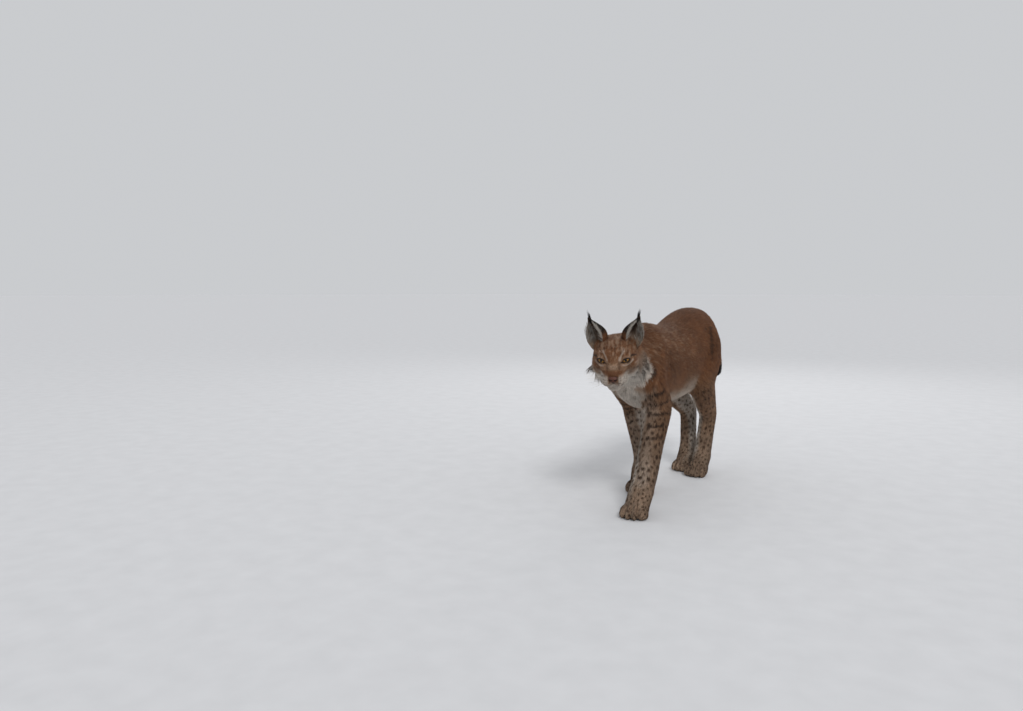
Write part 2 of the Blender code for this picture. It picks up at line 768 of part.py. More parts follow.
def ankle_cut(leg, shift):
    """Where the paw is parted from the leg, moved down the leg by the shift."""
    joint, paw = leg.joints[3], leg.joints[4]
    if leg.is_fore:
        start = joint.lerp(paw, 0.42)
    else:
        start = joint.lerp(paw, 0.05)
    along = (paw - start).normalized()
    return start + along * shift, paw + along * shift


def leg_sleeve(leg):
    """A closed upright sleeve round the whole leg, rounded at its top, without a fold."""
    if leg.is_fore:
        blade, shoulder, elbow, wrist, paw = leg.joints
        out = leg.side * 0.012
        rows = (
            (blade.x + 2 * out, blade.y, 0.486, 0.024, 0.030, 0.030),
            (blade.x + 2 * out, blade.y - 0.005, 0.464, 0.042, 0.054, 0.054),
            (shoulder.x + out, blade.lerp(elbow, 0.35).y - 0.014, 0.410, 0.053, 0.082, 0.082),
            (elbow.x + out, elbow.y - 0.015, elbow.z, 0.055, 0.084, 0.084),
            (wrist.x, elbow.lerp(wrist, 0.5).y, 0.200, 0.055, 0.086, 0.086),
            (wrist.x, wrist.y, 0.090, 0.052, 0.084, 0.084),
            (paw.x, paw.y, -0.050, 0.052, 0.084, 0.084),
        )
    else:
        hip, knee, hock, pastern, paw = leg.joints
        out = leg.side * 0.020
        rows = (
            (hip.x + 2 * out, hip.y, 0.545, 0.026, 0.040, 0.040),
            (hip.x + 2 * out, hip.y, 0.520, 0.045, 0.076, 0.076),
            (hip.x + 2 * out, hip.y - 0.008, 0.465, 0.058, 0.118, 0.118),
            (knee.x + out, hip.y - 0.016, 0.360, 0.066, 0.146, 0.146),
            (hock.x + 0.5 * out, hock.y - 0.065, 0.200, 0.058, 0.130, 0.130),
            (pastern.x, pastern.y + 0.010, 0.060, 0.048, 0.110, 0.110),
            (paw.x, pastern.y + 0.010, -0.050, 0.048, 0.110, 0.110),
        )
    return tube("sleeve", rows, sides=16, steps=3)


NECK_TO_HEAD = (Vector((0.014, -0.334, 0.455)), Vector((0.34, -0.90, -0.10)))
TRUNK_TO_NECK = (Vector((0.002, -0.256, 0.450)), Vector((0.05, -0.95, 0.22)))
TRUNK_TO_TAIL = (Vector((0.000, 0.404, 0.480)), Vector((0.0, 1.0, 0.0)))


def half_space(name, plane, shift, size):
    """A box on the far side of a plane, which is moved along its normal by the shift."""
    point, normal = plane[0], plane[1].normalized()
    side = (ACROSS - normal * ACROSS.dot(normal)).normalized()
    turned = Matrix((side, normal.cross(side), normal)).transposed().to_4x4()
    place = Matrix.Translation(point + normal * shift) @ turned
    return block(name, (-size, -size, 0), (size, size, 2 * size), place)


def split(body, name, plane, size):
    """Parts the body at a plane. Returns what is before the plane, and the piece beyond it."""
    piece = combine(copy_of(body, name), half_space("beyond", plane, GAP / 2, size), "INTERSECT")
    body = combine(body, half_space("beyond", plane, -GAP / 2, size), "DIFFERENCE")
    return largest(body), largest(piece)


def build_body():
    """Trunk, neck, tail and legs, blended whole and then parted."""
    flesh = [trunk(), neck(), tail(), *skull_flesh()]
    for leg in LEGS:
        flesh += leg_flesh(leg)
    body = coarsen(blend("body", flesh, BODY_VOXEL, 9), BODY_TRIANGLES)
    body, piece = split(body, "tail", TRUNK_TO_TAIL, 0.30)
    nodes = [finish(piece, "tail", COAT)]
    for leg in LEGS:
        body, piece = part_off(body, leg.name, leg_sleeve(leg))
        start, onward = ankle_cut(leg, -GAP / 2)
        piece = largest(combine(piece, slab_below(start, onward, 0.09, "ankle"), "DIFFERENCE"))
        nodes.append(finish(piece, leg.name, COAT))
    body, piece = split(body, "neck", TRUNK_TO_NECK, 0.30)
    piece = largest(combine(piece, half_space("beyond", NECK_TO_HEAD, -GAP / 2, 0.30), "DIFFERENCE"))
    nodes.append(finish(piece, "neck", COAT))
    nodes.append(finish(body, "torso", COAT))
    return nodes


def build_paw(leg):
    """One paw, blended with the lowest form of its leg, cut off at the ankle and set flat on the floor."""
    *upper_forms, lowest_form = leg_flesh(leg)
    remove(*upper_forms)
    flesh = [*paw_flesh(leg), lowest_form]
    name = leg.name.replace("leg", "paw")
    made = coarsen(blend(name, flesh, PAW_VOXEL, 4), PAW_TRIANGLES)
    start, onward = ankle_cut(leg, GAP / 2)
    made = combine(made, slab_below(start, onward, 0.09, "below_ankle"), "INTERSECT")
    made = largest(combine(made, block("floor", (-1, -1, -0.2), (1, 1, 0)), "DIFFERENCE"))
    return finish(made, name, COAT)


def build_head(nodes):
    """The head with its lids, mouth and ruff, then its ears, eyes and nose."""
    flesh = [*skull_flesh(), neck()]
    head = blend("head", flesh, HEAD_VOXEL, 14)
    head = combine(head, half_space("front", NECK_TO_HEAD, GAP / 2, 0.30), "INTERSECT")
    head = coarsen(largest(head), HEAD_TRIANGLES)
    head, eyes = open_eyes(head)
    head = cut_mouth(head)
    bare = copy_of(head, "bare_head")
    head = combine(head, collected("ruff_locks", ruff_locks(bare)), "UNION")
    for node in nodes:
        if node.name in ("neck", "torso"):
            head = combine(head, grown(node, "neighbour", GAP), "DIFFERENCE")
    head = largest(head)
    made = [ear(LEFT, bare), ear(RIGHT, bare), nose(bare), *eyes]
    remove(bare)
    return [*made, finish(head, "head", PALE_COAT)]


def centre_on_floor(nodes):
    """Moves every node so that the origin lies on the floor, under the middle of the animal."""
    points = np.array([node.matrix_world @ v.co for node in nodes for v in node.data.vertices])
    middle = (points.min(0) + points.max(0)) / 2
    shift = Vector((-middle[0], -middle[1], 0))
    for node in nodes:
        node.data.transform(Matrix.Translation(shift) @ node.matrix_world)
        node.matrix_world = Matrix.Identity(4)
    print("shift", tuple(round(value, 5) for value in shift))


def main():
    for obj in list(bpy.data.objects):
        bpy.data.objects.remove(obj)
    nodes = build_body()
    nodes += [build_paw(leg) for leg in LEGS]
    nodes += build_head(nodes)
    centre_on_floor(nodes)
    collected("eurasian_lynx", nodes)


main()
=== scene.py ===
"""The lynx as it looks in life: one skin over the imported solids, a coat of tufts, eyes, nose and whiskers.

Lengths are in metres. Colours are written as they look on a screen, 0 to 255. Places on the head are in the
head's own frame, in which the nose points to -Y, and the origin lies between the ears and the jaw.
"""

import math

import bmesh
import bpy
import numpy as np
from mathutils import Matrix, Vector
from mathutils.bvhtree import BVHTree
from mathutils.kdtree import KDTree


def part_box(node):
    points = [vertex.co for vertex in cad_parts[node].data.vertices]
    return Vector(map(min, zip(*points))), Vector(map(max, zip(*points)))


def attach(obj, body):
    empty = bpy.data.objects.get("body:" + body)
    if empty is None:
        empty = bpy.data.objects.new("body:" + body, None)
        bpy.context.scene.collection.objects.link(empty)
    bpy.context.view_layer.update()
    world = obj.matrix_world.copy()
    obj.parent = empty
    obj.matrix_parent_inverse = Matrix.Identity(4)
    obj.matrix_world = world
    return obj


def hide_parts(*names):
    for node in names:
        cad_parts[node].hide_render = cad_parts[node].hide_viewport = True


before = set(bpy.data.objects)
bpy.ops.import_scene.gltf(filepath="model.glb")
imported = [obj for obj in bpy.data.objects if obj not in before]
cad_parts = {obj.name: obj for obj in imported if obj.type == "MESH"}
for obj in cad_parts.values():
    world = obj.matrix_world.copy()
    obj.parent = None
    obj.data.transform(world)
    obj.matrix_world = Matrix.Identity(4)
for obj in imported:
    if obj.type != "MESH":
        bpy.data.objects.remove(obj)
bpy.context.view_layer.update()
random = np.random.default_rng(7)

FLESH = (
    "torso", "neck", "head", "tail",
    "foreleg_left", "foreleg_right", "hindleg_left", "hindleg_right",
    "forepaw_left", "forepaw_right", "hindpaw_left", "hindpaw_right",
)
EAR_LABEL = len(FLESH)
LEFT, RIGHT = 1, -1

# The head's frame
HEAD_TURN = (
    Matrix.Rotation(math.radians(22.0), 3, "Z")
    @ Matrix.Rotation(math.radians(21.0), 3, "X")
    @ Matrix.Rotation(math.radians(-2.0), 3, "Y")
)
EYE_PLACE = Vector((0.0300, -0.0445, 0.0100))
EYE_GAZE = Vector((0.26, -0.96, 0.04)).normalized()
EYE_SLANT = 15.0
EYE_RADIUS = 0.0145
EYE_HALF_WIDTH = 0.0130
UPPER_LID = 0.0043
LOWER_LID = 0.0052
LID_LIFT = 0.0009
LID_FOLD = 0.0011
LID_RIMS = (0.00125, 0.00100)
EYE_SUNK = 0.0030
SOCKET_MARGIN = 0.0012
EAR_PLACE = Vector((0.0500, 0.020, 0.036))
EAR_HEIGHT = 0.071
EAR_ROOT = -0.026
EAR_RADIUS = 0.0300
EAR_BREADTHS = (0.52, 0.80, 0.98, 1.00, 0.84, 0.56, 0.26, 0.05)
EAR_WALL = 0.0015
NOSE_PLACE = Vector((0, -0.0970, -0.0260))
MOUTH = (
    (0.000, -0.1010, -0.0420), (0.006, -0.1000, -0.0480), (0.014, -0.0950, -0.0525),
    (0.023, -0.0840, -0.0540), (0.030, -0.0690, -0.0520), (0.035, -0.0540, -0.0480),
)
MOUTH_DEPTH = 0.0024
CLEFT = ((0, -0.104, -0.034), (0, -0.102, -0.045))
CLEFT_DEPTH = 0.0018

RUFF_ROOTS = (
    (0.0655, 0.0180, -0.0170), (0.0660, 0.0140, -0.0280), (0.0630, 0.0100, -0.0420),
    (0.0500, 0.0040, -0.0580), (0.0290, -0.0040, -0.0700), (0.0090, -0.0120, -0.0740),
)
RUFF_LIES = (
    (0.34, 0.82, -0.46), (0.40, 0.60, -0.70), (0.32, 0.42, -0.85),
    (0.18, 0.36, -0.92), (0.06, 0.40, -0.92), (0.00, 0.50, -0.86),
)
RUFF_SIZES = (0.56, 0.76, 0.92, 0.96, 0.74, 0.50)
RUFF_LENGTH = 0.052
RUFF_BLADES = 4200
RUFF_CLEAR = 0.004
RUFF_WIDTH = 0.0011
LOCK_THICKNESS = 0.022
BRUSH_BLADES = 80
EAR_BLADES = 700
WHISKER_WIDTH = 0.00050

# Paws: the heel's place on the floor, the turn in degrees and the width
PAWS = {
    "forepaw_left": ((0.076, -0.338), 4, 0.067),
    "forepaw_right": ((-0.030, -0.066), -4, 0.067),
    "hindpaw_left": ((0.048, 0.245), 4, 0.060),
    "hindpaw_right": ((-0.023, 0.301), -4, 0.060),
}
TOE_SPREAD = 0.235
TOE_SWELL = 0.0012
TOE_GROOVE = 0.0040

# How finely the skin is made
SKIN_VOXEL = 0.0034
SOLIDS_GROWN = 0.0005
FLOOR_GAP = 0.0012
PIECE_TRIANGLES = 180000
BAKE_PATCH = 0.003
SPOT_TRIES = 50000

# How tufts differ from the coat's lie, and how they lean together
LIE_SPREAD = 0.13
LIE_WAVE = 0.5
TUFTS_IN_CLUMP = 24
CLUMP_PULL = 0.36
LONG_TUFT = 0.0165
ROOT_SHADE = 0.66

# How much of a blade's shading follows its own face, and how round it looks
BLADE_FACING = 0.45
BLADE_ROUNDING = 0.35

# The photograph's camera. The focal length is a share of the picture's width.
CAMERA_PLACE = Vector((1.00, -2.42, 0.66))
CAMERA_AZIMUTH = math.radians(33.0)
CAMERA_PITCH = math.radians(5.0)
FOCAL_SHARE = 800 / 1023
SENSOR_WIDTH = 36.0
FLOOR_RADIUS = 60.0


# Frames

def mirrored(vector, side):
    return Vector((vector[0] * side, vector[1], vector[2]))


def side_name(side):
    return "left" if side == LEFT else "right"


def middle_of(node):
    low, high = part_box(node)
    return (low + high) / 2


HEAD_PLACE = (middle_of("eye_left") + middle_of("eye_right")) / 2 - HEAD_TURN @ Vector((0, *EYE_PLACE[1:]))
HEAD = Matrix.Translation(HEAD_PLACE) @ HEAD_TURN.to_4x4()
BODY_SHIFT = HEAD_PLACE - Vector((0.030, -0.396, 0.467))


def to_head(points):
    """Points of the world, as rows, in the head's frame."""
    return (points - np.array(HEAD_PLACE)) @ np.array(HEAD_TURN)


def from_head(vectors):
    """Directions in the head's frame, as rows, turned to the world."""
    return vectors @ np.array(HEAD_TURN).T


def facing(gaze, slant):
    """A frame whose Z runs along the gaze and whose X runs across, tilted by the slant in degrees."""
    across = Vector((0, 0, 1)).cross(gaze).normalized()
    upward = gaze.cross(across)
    turned = Matrix((across, upward, gaze)).transposed().to_4x4()
    return turned @ Matrix.Rotation(math.radians(slant), 4, "Z")


def eye_frame(side):
    """The frame of one eye: Z along the gaze, X towards +X along the opening."""
    place = Matrix.Translation(mirrored(EYE_PLACE, side))
    return HEAD @ place @ facing(mirrored(EYE_GAZE, side), side * EYE_SLANT)


def ear_frame(side):
    """The frame of one ear: Z to the tip, -Y where the cup opens."""
    lean_out, lean_back, open_out = 17, 5, 26
    return (
        HEAD
        @ Matrix.Translation(mirrored(EAR_PLACE, side))
        @ Matrix.Rotation(math.radians(side * lean_out), 4, "Y")
        @ Matrix.Rotation(math.radians(-lean_back), 4, "X")
        @ Matrix.Rotation(math.radians(side * open_out), 4, "Z")
    )


def in_frame(matrix, points):
    """Points of the world, as rows, in the frame of a matrix."""
    back = np.array(matrix.inverted())
    return points @ back[:3, :3].T + back[:3, 3]


# Numbers

def ramp(value, start, end):
    """0 before the start and 1 after the end, with a soft change between them."""
    share = np.clip((value - start) / (end - start), 0, 1)
    return share * share * (3 - 2 * share)


def unit(vectors):
    return vectors / np.maximum(np.linalg.norm(vectors, axis=-1, keepdims=True), 1e-9)


def between(stations, steps):
    """Catmull-Rom values between the stations."""
    rows = [np.array(s, float) for s in stations]
    rows = [2 * rows[0] - rows[1], *rows, 2 * rows[-1] - rows[-2]]
    found = []
    for a, b, c, d in zip(rows, rows[1:], rows[2:], rows[3:]):
        for t in np.arange(steps) / steps:
            found.append(
                b + 0.5 * t * (c - a + t * (2 * a - 5 * b + 4 * c - d + t * (3 * b - a - 3 * c + d)))
            )
    return np.array([*found, rows[-2]])


# Large odd numbers that scramble the cells of the noise
CELL_FACTORS = (73856093, 19349663, 83492791)
SEED_FACTOR = 2654435761
LAST_FACTOR = 1274126177


def lattice_noise(points, size, seed=0):
    """Soft random values from 0 to 1 that change over the given size."""
    scaled = points / size
    cell = np.floor(scaled).astype(np.int64)
    share = scaled - cell
    share = share * share * (3 - 2 * share)
    total = np.zeros(len(points))
    for corner in range(8):
        step = np.array([corner & 1, corner >> 1 & 1, corner >> 2 & 1])
        place = cell + step
        first, second, third = (place * np.array(CELL_FACTORS)).T
        mixed = first ^ second ^ third ^ (seed + 1) * SEED_FACTOR
        mixed = (mixed ^ mixed >> 13) * LAST_FACTOR
        value = ((mixed ^ mixed >> 16) & 0xFFFF) / 0xFFFF
        weight = np.where(step, share, 1 - share).prod(axis=1)
        total += weight * value
    return total


def near_line(points, line):
    """Each point's distance from a line through several places, and how far along the nearest place is."""
    best = np.full(len(points), 1e9)
    along = np.zeros(len(points))
    line = np.array(line, float)
    count = len(line) - 1
    for k, (start, end) in enumerate(zip(line, line[1:])):
        run = end - start
        share = np.clip((points - start) @ run / max(run @ run, 1e-12), 0, 1)
        distance = np.linalg.norm(points - start - share[:, None] * run, axis=1)
        closer = distance < best
        best = np.where(closer, distance, best)
        along = np.where(closer, (k + share) / count, along)
    return best, along


# Mesh tools

def link(name, mesh):
    made = bpy.data.objects.new(name, mesh)
    bpy.context.scene.collection.objects.link(made)
    return made


def settle(obj):
    """Puts the evaluated mesh of an object in its place, with no modifier left."""
    graph = bpy.context.evaluated_depsgraph_get()
    mesh = bpy.data.meshes.new_from_object(obj.evaluated_get(graph))
    name = obj.name
    bpy.data.objects.remove(obj)
    return link(name, mesh)


def mesh_from(name, points, triangles):
    """A smooth mesh from arrays of points and triangles."""
    mesh = bpy.data.meshes.new(name)
    mesh.vertices.add(len(points))
    mesh.vertices.foreach_set("co", np.asarray(points, np.float32).ravel())
    mesh.loops.add(len(triangles) * 3)
    mesh.loops.foreach_set("vertex_index", np.asarray(triangles, np.int32).ravel())
    mesh.polygons.add(len(triangles))
    mesh.polygons.foreach_set("loop_start", np.arange(0, len(triangles) * 3, 3, dtype=np.int32))
    mesh.update(calc_edges=True)
    mesh.validate()
    mesh.shade_smooth()
    return mesh


def arrays_of(mesh):
    """The points and triangles of a mesh."""
    mesh.calc_loop_triangles()
    points = np.empty(len(mesh.vertices) * 3)
    mesh.vertices.foreach_get("co", points)
    triangles = np.empty(len(mesh.loop_triangles) * 3, np.int32)
    mesh.loop_triangles.foreach_get("vertices", triangles)
    return points.reshape(-1, 3), triangles.reshape(-1, 3)


def edges_of(triangles):
    pairs = np.concatenate([triangles[:, [0, 1]], triangles[:, [1, 2]], triangles[:, [2, 0]]])
    return np.unique(np.sort(pairs, axis=1), axis=0)


def face_normals(points, triangles):
    a, b, c = (points[triangles[:, k]] for k in range(3))
    return np.cross(b - a, c - a)


def point_normals(points, triangles):
    total = np.zeros_like(points)
    normals = face_normals(points, triangles)
    for k in range(3):
        for axis in range(3):
            total[:, axis] += np.bincount(triangles[:, k], normals[:, axis], len(points))
    return unit(total)


def relax(values, edges, rounds, strength=0.5):
    """Draws each value towards the mean of its neighbours. Strength may differ from point to point."""
    values = np.array(values, float)
    flat = values.ndim == 1
    if flat:
        values = values[:, None]
    count = len(values)
    first, second = edges[:, 0], edges[:, 1]
    degree = np.bincount(first, minlength=count) + np.bincount(second, minlength=count)
    degree = np.maximum(degree, 1)
    strength = np.broadcast_to(strength, (count,))
    for _ in range(rounds):
        for axis in range(values.shape[1]):
            column = values[:, axis]
            mean = (
                np.bincount(first, column[second], count) + np.bincount(second, column[first], count)
            ) / degree
            values[:, axis] = column + strength * (mean - column)
    return values[:, 0] if flat else values


def uv_layer(mesh, name, per_point):
    """A UV map with one place for each point of the mesh."""
    corners = np.empty(len(mesh.loops), np.int32)
    mesh.loops.foreach_get("vertex_index", corners)
    layer = mesh.uv_layers.new(name=name)
    layer.uv.foreach_set("vector", np.asarray(per_point, np.float32)[corners].ravel())


def paint(mesh, colours):
    """Stores a screen colour for each point as the attribute that the materials read."""
    share = np.clip(colours, 0, 255) / 255
    linear = np.where(share <= 0.04045, share / 12.92, ((share + 0.055) / 1.055) ** 2.4)
    layer = mesh.color_attributes.new(name="tint", type="FLOAT_COLOR", domain="POINT")
    packed = np.concatenate([linear, np.ones((len(linear), 1))], axis=1)
    layer.data.foreach_set("color", packed.astype(np.float32).ravel())


# Skin

def ear_shell(side):
    """A thin closed cup, with its root sunk in the head. Returns points, triangles, and which are inside."""
    breadths = between([(b,) for b in EAR_BREADTHS], 4)[:, 0]
    columns = 25
    outer = []
    for i, breadth in enumerate(breadths):
        share = i / (len(breadths) - 1)
        height = EAR_ROOT + (EAR_HEIGHT - EAR_ROOT) * share
        radius = EAR_RADIUS * breadth
        reach = math.radians(128 - 34 * share)
        bow = 0.007 * math.sin(math.pi * share)
        for k in range(columns):
            turn = reach * (2 * k / (columns - 1) - 1)
            depth = radius * (0.78 + 0.22 * (1 - share))
            outer.append((radius * math.sin(turn), depth * math.cos(turn) + bow, height))
    outer = np.array(outer)
    rows = len(breadths)
    quads = []
    for i in range(rows - 1):
        for k in range(columns - 1):
            a = i * columns + k
            quads.append((a, a + 1, a + 1 + columns, a + columns))
    quads = np.array(quads)
    triangles = np.concatenate([quads[:, [0, 1, 2]], quads[:, [0, 2, 3]]])
    normals = point_normals(outer, triangles)
    if (normals[:, 1] * outer[:, 1]).sum() < 0:
        normals = -normals
        triangles = triangles[:, ::-1]
    count = len(outer)
    points = np.concatenate([outer + normals * EAR_WALL / 2, outer - normals * EAR_WALL / 2])
    rim = list(range(columns))
    rim += [i * columns + columns - 1 for i in range(1, rows)]
    rim += [(rows - 1) * columns + k for k in range(columns - 2, -1, -1)]
    rim += [i * columns for i in range(rows - 2, 0, -1)]
    bands = []
    for a, b in zip(rim, rim[1:] + rim[:1]):
        bands += [(a, b, b + count), (a, b + count, a + count)]
    triangles = np.concatenate([triangles, triangles[:, ::-1] + count, np.array(bands)])
    inside = np.concatenate([np.zeros(count, bool), np.ones(count, bool)])
    turned = np.array(ear_frame(side))
    return points @ turned[:3, :3].T + turned[:3, 3], triangles, inside


def joined_flesh():
    """One closed skin round the solids of flesh, finer on the face and paws."""
    points, triangles, offset = [], [], 0
    for name in FLESH:
        found, faces = arrays_of(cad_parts[name].data)
        grown = found + point_normals(found, faces) * SOLIDS_GROWN
        points.append(grown)
        triangles.append(faces + offset)
        offset += len(found)
    bm = bmesh.new()
    for side in (LEFT, RIGHT):
        place = HEAD @ Matrix.Translation(mirrored(EYE_PLACE, side))
        bmesh.ops.create_icosphere(bm, subdivisions=3, radius=EYE_RADIUS + SOCKET_MARGIN, matrix=place)
    mesh = bpy.data.meshes.new("sockets")
    bm.to_mesh(mesh)
    bm.free()
    found, faces = arrays_of(mesh)
    bpy.data.meshes.remove(mesh)
    points.append(found)
    triangles.append(faces + offset)
    obj = link("flesh", mesh_from("flesh", np.concatenate(points), np.concatenate(triangles)))
    remesh = obj.modifiers.new("Join", "REMESH")
    remesh.mode = "VOXEL"
    remesh.voxel_size = SKIN_VOXEL
    obj = settle(obj)
    bm = bmesh.new()
    bm.from_mesh(obj.data)
    bpy.data.objects.remove(obj)
    back = HEAD.inverted()
    for reach, low in ((0.030, 0.065), (-0.032, 0.0)):
        finer = []
        for face in bm.faces:
            middle = face.calc_center_median()
            local = back @ middle
            if middle.z < low or (local.y < reach and local.z > -0.085):
                finer.append(face)
        edges = list({edge for face in finer for edge in face.edges})
        bmesh.ops.subdivide_edges(bm, edges=edges, cuts=1, use_grid_fill=True)
    bmesh.ops.triangulate(bm, faces=bm.faces)
    mesh = bpy.data.meshes.new("skin")
    bm.to_mesh(mesh)
    bm.free()
    found = arrays_of(mesh)
    bpy.data.meshes.remove(mesh)
    return found


def labels_of(points):
    """The index in FLESH of the solid that each point is nearest to."""
    corners, faces, owners, offset = [], [], [], 0
    for k, name in enumerate(FLESH):
        found, triangles = arrays_of(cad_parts[name].data)
        corners.append(found)
        faces.append(triangles + offset)
        owners += [k] * len(triangles)
        offset += len(found)
    tree = BVHTree.FromPolygons(np.concatenate(corners).tolist(), np.concatenate(faces).tolist())
    return np.array([owners[tree.find_nearest(point)[2]] for point in points.tolist()])


def is_label(labels, *starts):
    """Whether each label is of a solid whose name starts with one of these words."""
    picked = [k for k, name in enumerate(FLESH) if name.startswith(starts)]
    if "ear" in starts:
        picked.append(EAR_LABEL)
    return np.isin(labels, picked)


def without_locks(points, triangles, labels, edges):
    """Takes the solid locks of the ruff off the skin, and closes the cheek where they grew."""
    head = to_head(points)
    normals = point_normals(points, triangles)
    near = is_label(labels, "head", "neck")
    near &= (head[:, 1] > -0.030) & (head[:, 1] < 0.085) & (head[:, 2] > -0.16) & (head[:, 2] < 0.008)
    tree = BVHTree.FromPolygons(points.tolist(), triangles.tolist())
    thin = np.zeros(len(points))
    for k in np.flatnonzero(near):
        start = Vector(points[k] - normals[k] * 0.0003)
        thin[k] = tree.ray_cast(start, Vector(-normals[k]), LOCK_THICKNESS)[0] is not None
    thin = (relax(thin, edges, 8) > 0.03) & is_label(labels, "head", "neck")
    used = edges[thin[edges[:, 0]] | thin[edges[:, 1]]]
    rows = np.unique(used)
    number = np.full(len(points), -1)
    number[rows] = np.arange(len(rows))
    points[rows] = relax(points[rows], number[used], 500, np.where(thin[rows], 1.0, 0.0))
    return points, thin


# How the coat differs over the body: depth, length and width of a tuft, and tufts per square metre
COAT = {
    "torso": (0.0095, 0.0255, 0.0011, 295e3),
    "neck": (0.0100, 0.0270, 0.0011, 330e3),
    "tail": (0.0080, 0.0190, 0.0012, 330e3),
    "upper_leg": (0.0080, 0.0215, 0.0012, 270e3),
    "lower_foreleg": (0.0042, 0.0120, 0.0010, 420e3),
    "lower_hindleg": (0.0048, 0.0130, 0.0011, 400e3),
    "paw": (0.0024, 0.0075, 0.0009, 560e3),
    "crown": (0.0038, 0.0120, 0.0010, 520e3),
    "nape": (0.0085, 0.0240, 0.0012, 300e3),
    "cheek": (0.0055, 0.0200, 0.0011, 480e3),
    "ruff": (0.0085, 0.0300, 0.0013, 330e3),
    "face": (0.0018, 0.0056, 0.0007, 1150e3),
    "muzzle": (0.0012, 0.0040, 0.0006, 1500e3),
    "ear": (0.0008, 0.0080, 0.0008, 460e3),
}


def coat_fields(points, labels):
    """The four values of COAT for each point, before they are smoothed."""
    head = to_head(points)
    high = points[:, 2]
    fields = np.zeros((len(points), 4))
    fields[:] = COAT["torso"]
    for name in ("neck", "tail"):
        fields[is_label(labels, name)] = COAT[name]
    for name in ("foreleg", "hindleg"):
        picked = is_label(labels, name)
        share = ramp(high, 0.250, 0.350)[:, None]
        blended = np.array(COAT["lower_" + name]) * (1 - share) + np.array(COAT["upper_leg"]) * share
        fields[picked] = blended[picked]
    picked = is_label(labels, "forepaw", "hindpaw")
    fields[picked] = COAT["paw"]
    picked = is_label(labels, "head")
    value = np.tile(np.array(COAT["crown"]), (len(points), 1))
    layers = (
        ("nape", ramp(head[:, 1], -0.005, 0.060)),
        ("cheek", ramp(head[:, 2], 0.010, -0.014) * ramp(head[:, 1], -0.040, -0.012)),
        ("ruff", ramp(head[:, 2], -0.012, -0.034) * ramp(head[:, 1], -0.014, 0.018)),
        ("face", ramp(head[:, 1], -0.018, -0.048)),
        ("muzzle", ramp(head[:, 1], -0.052, -0.076)),
    )
    for name, weight in layers:
        value += weight[:, None] * (np.array(COAT[name]) - value)
    fields[picked] = value[picked]
    fields[labels == EAR_LABEL] = COAT["ear"]
    return fields


def along_leg(high, joints):
    """The way a leg runs at each height, from its joints, top first."""
    found = np.zeros((len(high), 3))
    found[:] = unit(np.array(joints[-1]) - np.array(joints[-2]))
    for start, end in reversed(list(zip(joints, joints[1:]))):
        found[high > end[2]] = unit(np.array(end) - np.array(start))
    return found


LOWER_LEGS = {
    "foreleg_left": ((0.080, -0.198, 0.300), (0.082, -0.292, 0.106), (0.076, -0.338, 0.026)),
    "foreleg_right": ((-0.040, -0.112, 0.302), (-0.031, -0.040, 0.106), (-0.030, -0.066, 0.026)),
    "hindleg_left": (
        (0.074, 0.165, 0.350), (0.056, 0.318, 0.208), (0.049, 0.282, 0.070), (0.048, 0.245, 0.026),
    ),
    "hindleg_right": (
        (-0.070, 0.175, 0.342), (-0.032, 0.358, 0.214), (-0.024, 0.336, 0.070), (-0.023, 0.301, 0.026),
    ),
}
TAIL_LINE = (
    (0.004, 0.384, 0.520), (0.016, 0.420, 0.484), (0.028, 0.436, 0.432), (0.036, 0.438, 0.380),
    (0.040, 0.434, 0.335),
)


def lie_of_coat(points, normals, labels, edges):
    """The way that the hair lies at each point: from the nose to the tail, and down the legs."""
    head = to_head(points)
    lie = np.tile((0.0, 1.0, 0.0), (len(points), 1))
    lie[:, 2] = -0.40 * np.abs(normals[:, 0])
    picked = is_label(labels, "neck")
    lie[picked] = (-0.05, 1.0, -0.25)
    lie[picked, 2] -= 0.9 * np.abs(normals[picked, 0]) + 1.6 * np.maximum(-normals[picked, 1], 0)
    chest = is_label(labels, "torso") & (points[:, 1] < -0.20)
    lie[chest, 2] -= 2.5 * np.maximum(-normals[chest, 1], 0)
    for name, joints in LOWER_LEGS.items():
        picked = is_label(labels, name)
        shifted = [np.array(joint) + np.array(BODY_SHIFT) for joint in joints]
        down = along_leg(points[:, 2], shifted)
        thigh = ramp(points[:, 2], shifted[0][2] - 0.05, shifted[0][2] + 0.03)[:, None]
        down = down * (1 - thigh) + np.array((0.0, 0.62, -0.78)) * thigh
        lie[picked] = down[picked]
        lie[is_label(labels, name.replace("leg", "paw"))] = (0, -0.8, -0.55)
    picked = is_label(labels, "tail")
    shifted = [np.array(joint) + np.array(BODY_SHIFT) for joint in TAIL_LINE]
    lie[picked] = along_leg(points[:, 2], shifted)[picked]
    picked = is_label(labels, "head")
    outward = head - np.array((0.0, -0.104, -0.030))
    outward[:, 2] -= 0.09 * ramp(head[:, 1], -0.03, 0.03) * ramp(head[:, 2], 0.015, -0.03)
    outward[:, 1] += 0.030
    lie[picked] = from_head(unit(outward))[picked]
    for side in (LEFT, RIGHT):
        turned = np.array(ear_frame(side))[:3, :3]
        picked = (labels == EAR_LABEL) & (head[:, 0] * side > 0)
        sideways = in_frame(ear_frame(side), points)[:, 0]
        up = np.tile((0.0, 0.0, 1.0), (len(points), 1))
        up[:, 0] = np.clip(sideways * 12, -0.35, 0.35)
        lie[picked] = (up @ turned.T)[picked]
    body = labels != EAR_LABEL
    for _ in range(6):
        lie = unit(lie - normals * (lie * normals).sum(axis=1, keepdims=True))
        eased = relax(lie, edges, 8)
        lie[body] = eased[body]
    return unit(lie - normals * (lie * normals).sum(axis=1, keepdims=True))


